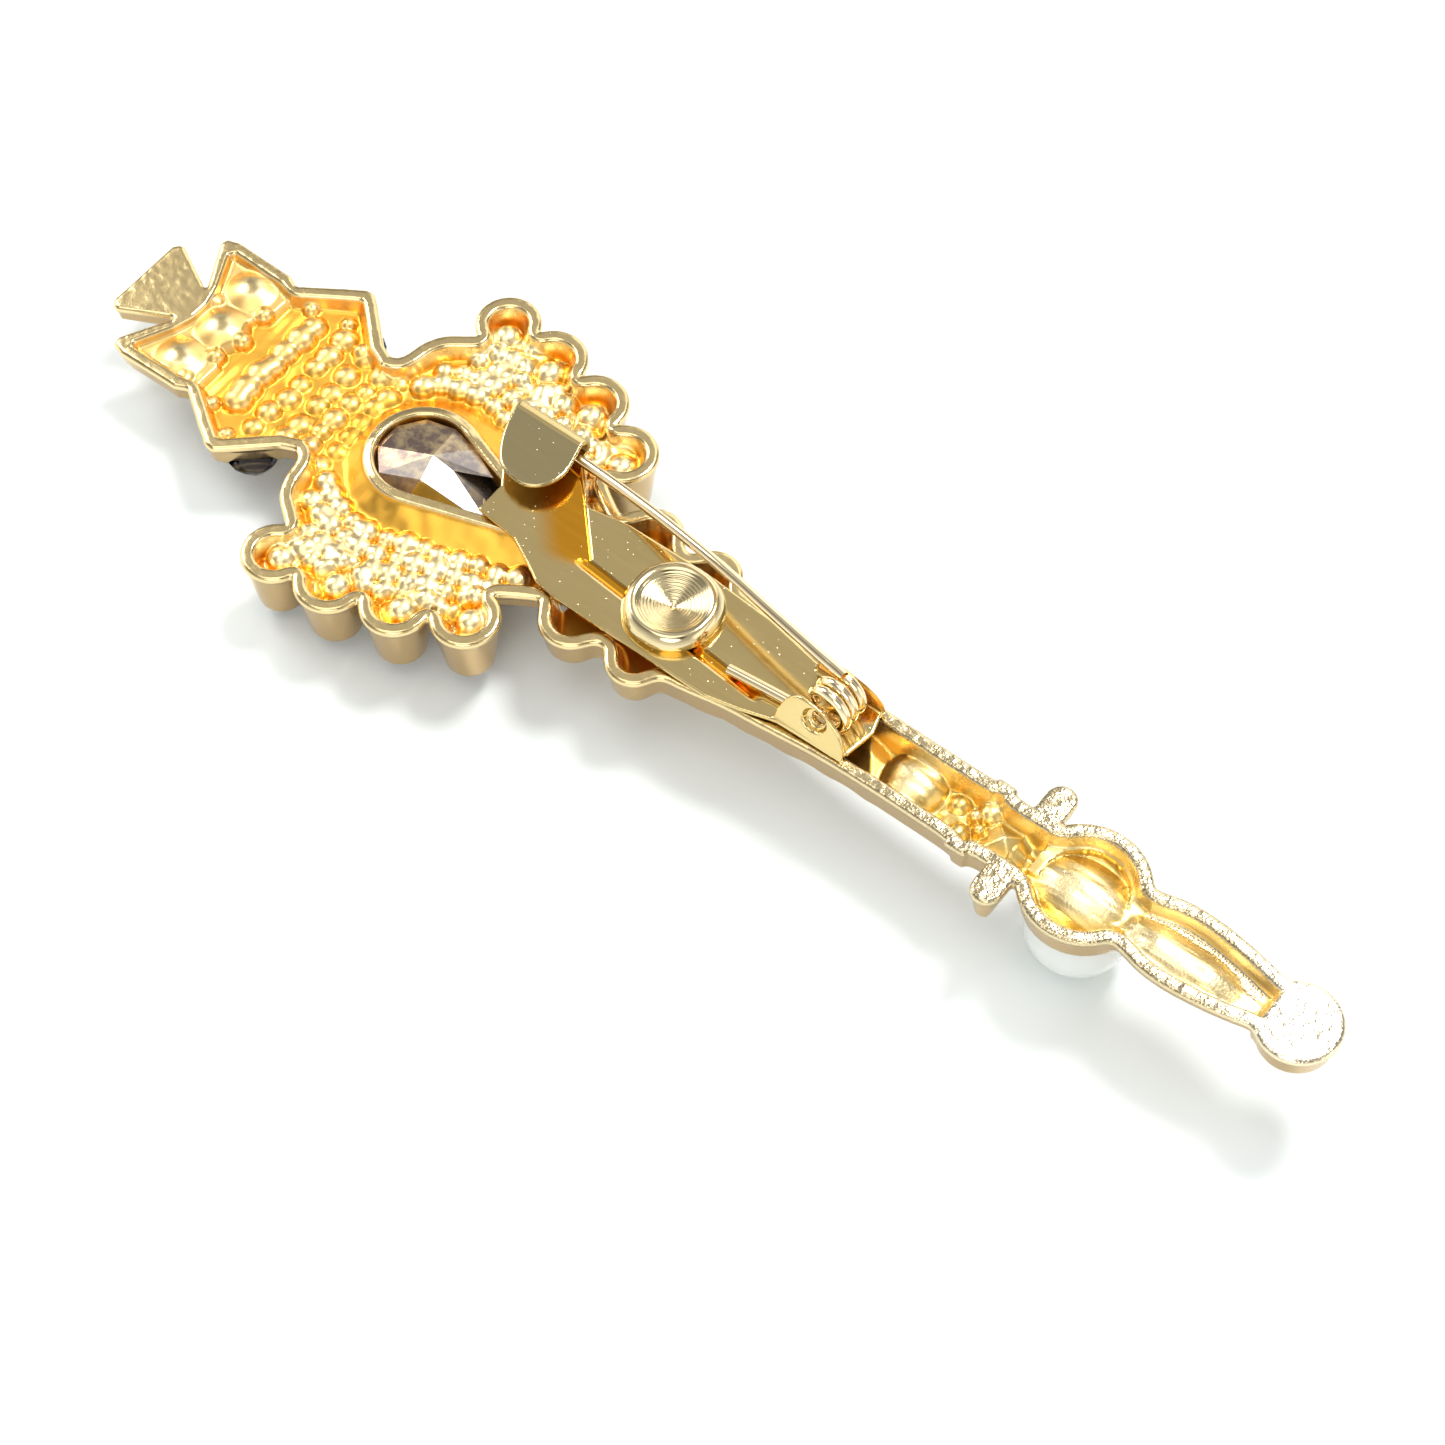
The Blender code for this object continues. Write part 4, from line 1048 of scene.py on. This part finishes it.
def baguette_stone():
    """A long step-cut stone across the staff."""
    low_u, high_u, half_v = 71.0, 73.0, 1.9
    top, bottom = STAFF_FACE - GAP, STAFF_FACE - GAP - 0.8
    levels = [(0.45, top), (0.0, top - 0.12), (0.0, top - 0.3), (0.22, top - 0.55), (0.5, bottom)]
    bm = bmesh.new()
    rings = []
    for margin, z in levels:
        corners = [(low_u + margin, -half_v + margin), (high_u - margin, -half_v + margin),
                   (high_u - margin, half_v - margin), (low_u + margin, half_v - margin)]
        rings.append([bm.verts.new(at(u, v, z)) for u, v in corners])
    bm.faces.new(rings[0])
    bm.faces.new(rings[-1])
    join_rings(bm, rings)
    finish_bmesh(bm, "baguette_stone_cut", CLEAR, ["baguette_stone"])


# --- the studio ---

def table():
    """A plain pale table top, just under the piece, whose edge is far outside the view."""
    bm = bmesh.new()
    bmesh.ops.create_grid(bm, x_segments=8, y_segments=8, size=1.2)
    bmesh.ops.translate(bm, vec=(0.0, 0.0, -0.03 * MM), verts=bm.verts)
    mesh = bpy.data.meshes.new("table_top")
    bm.to_mesh(mesh)
    bm.free()
    mesh.materials.append(table_top())
    top = placed("table_top", mesh)


def softbox(name, place, size, watts):
    """A round lamp that faces the middle of the piece."""
    data = bpy.data.lights.new(name, "AREA")
    data.shape = "DISK"
    data.size = size
    data.energy = watts
    lamp = placed(name, data)
    lamp.location = place
    lamp.rotation_euler = (-Vector(place)).to_track_quat("-Z", "Y").to_euler()


PATCHES = [                    # direction, where it starts and is full (as a cosine), its value
    (PHOTOGRAPHER, 0.93, 0.985, 0.12),
    ((-0.10, -0.20, 0.97), 0.935, 0.965, 2.2),
    ((-0.25, 0.82, 0.48), 0.90, 0.95, 1.7),
    ((-0.95, -0.10, 0.25), 0.86, 0.94, 1.7),
    ((0.90, 0.20, 0.35), 0.88, 0.95, 1.6),
    ((-0.75, 0.55, 0.35), 0.90, 0.96, 0.34),
    ((0.30, 0.75, 0.60), 0.92, 0.97, 0.34),
    ((-0.55, -0.45, 0.70), 0.93, 0.97, 0.30)]


def room():
    """A pale room with a few brighter windows and darker things standing in it."""
    world = bpy.data.worlds.new("pale_room")
    bpy.context.scene.world = world
    world.use_nodes = True
    tree = world.node_tree

    place = add_node(tree, "TexCoord", {}, "Generated")
    height = add_node(tree, "SeparateXYZ", {0: place}, "Z")
    light = add_node(tree, "MapRange", {"Value": height, "From Min": 0.0, "From Max": 0.6,
                                        "To Min": 1.0, "To Max": 0.55}, interpolation_type="SMOOTHSTEP")
    for direction, start, full, value in PATCHES:
        facing = add_node(tree, "VectorMath", {0: place, 1: Vector(direction).normalized()}, "Value",
                          operation="DOT_PRODUCT")
        share = add_node(tree, "MapRange", {"Value": facing, "From Min": start, "From Max": full},
                         interpolation_type="SMOOTHSTEP")
        light = add_node(tree, "Mix", {"Factor": share, 2: light, 3: value}, data_type="FLOAT")
    colour = add_node(tree, "CombineXYZ", {0: light, 1: light, 2: light})
    background = tree.nodes["Background"].inputs
    feed(tree, background["Color"], colour)
    feed(tree, background["Strength"], ROOM_LIGHT)


LENS = 87.197232   # on Blender's own sensor, which is 36 mm wide


def camera():
    """A long lens beside the tail, looking down across the pin."""
    place = at(138.74, -103.17, 204.77)
    right = Vector((0.7876447, 0.61596277, -0.01434224))
    up = Vector((-0.51746776, 0.67397353, 0.52724453))
    turn = Matrix((right, up, right.cross(up))).transposed()
    data = bpy.data.cameras.new("camera")
    data.lens = LENS
    data.clip_start, data.clip_end = 0.01, 10.0
    viewer = placed("camera", data)
    viewer.matrix_world = Matrix.Translation(place) @ (RESTING.to_3x3() @ turn).to_4x4()
    bpy.context.scene.camera = viewer


WIRE_GOLD = wire_gold()
CLEAR = crystal("clear_cut_glass", CLEAR_GLASS, (1.0, 1.0, 1.0))
SMOKY = crystal("smoky_cut_glass", (0.10, 0.10, 0.12), (0.16, 0.15, 0.17))

camera()
table()
room()
softbox("key_light", (0.004, 0.20, 0.404), 0.13, 1.15)
softbox("head_light", (-0.36, 0.06, 0.30), 0.20, 0.6)
softbox("near_light", (0.25, -0.50, 0.45), 0.45, 1.3)
bpy.context.scene.view_settings.view_transform = "Standard"

frame_casting()
centre_crystal()
pearl()
set_stones()
baguette_stone()
pin_plate()
rivet_stud()
spring_wire()
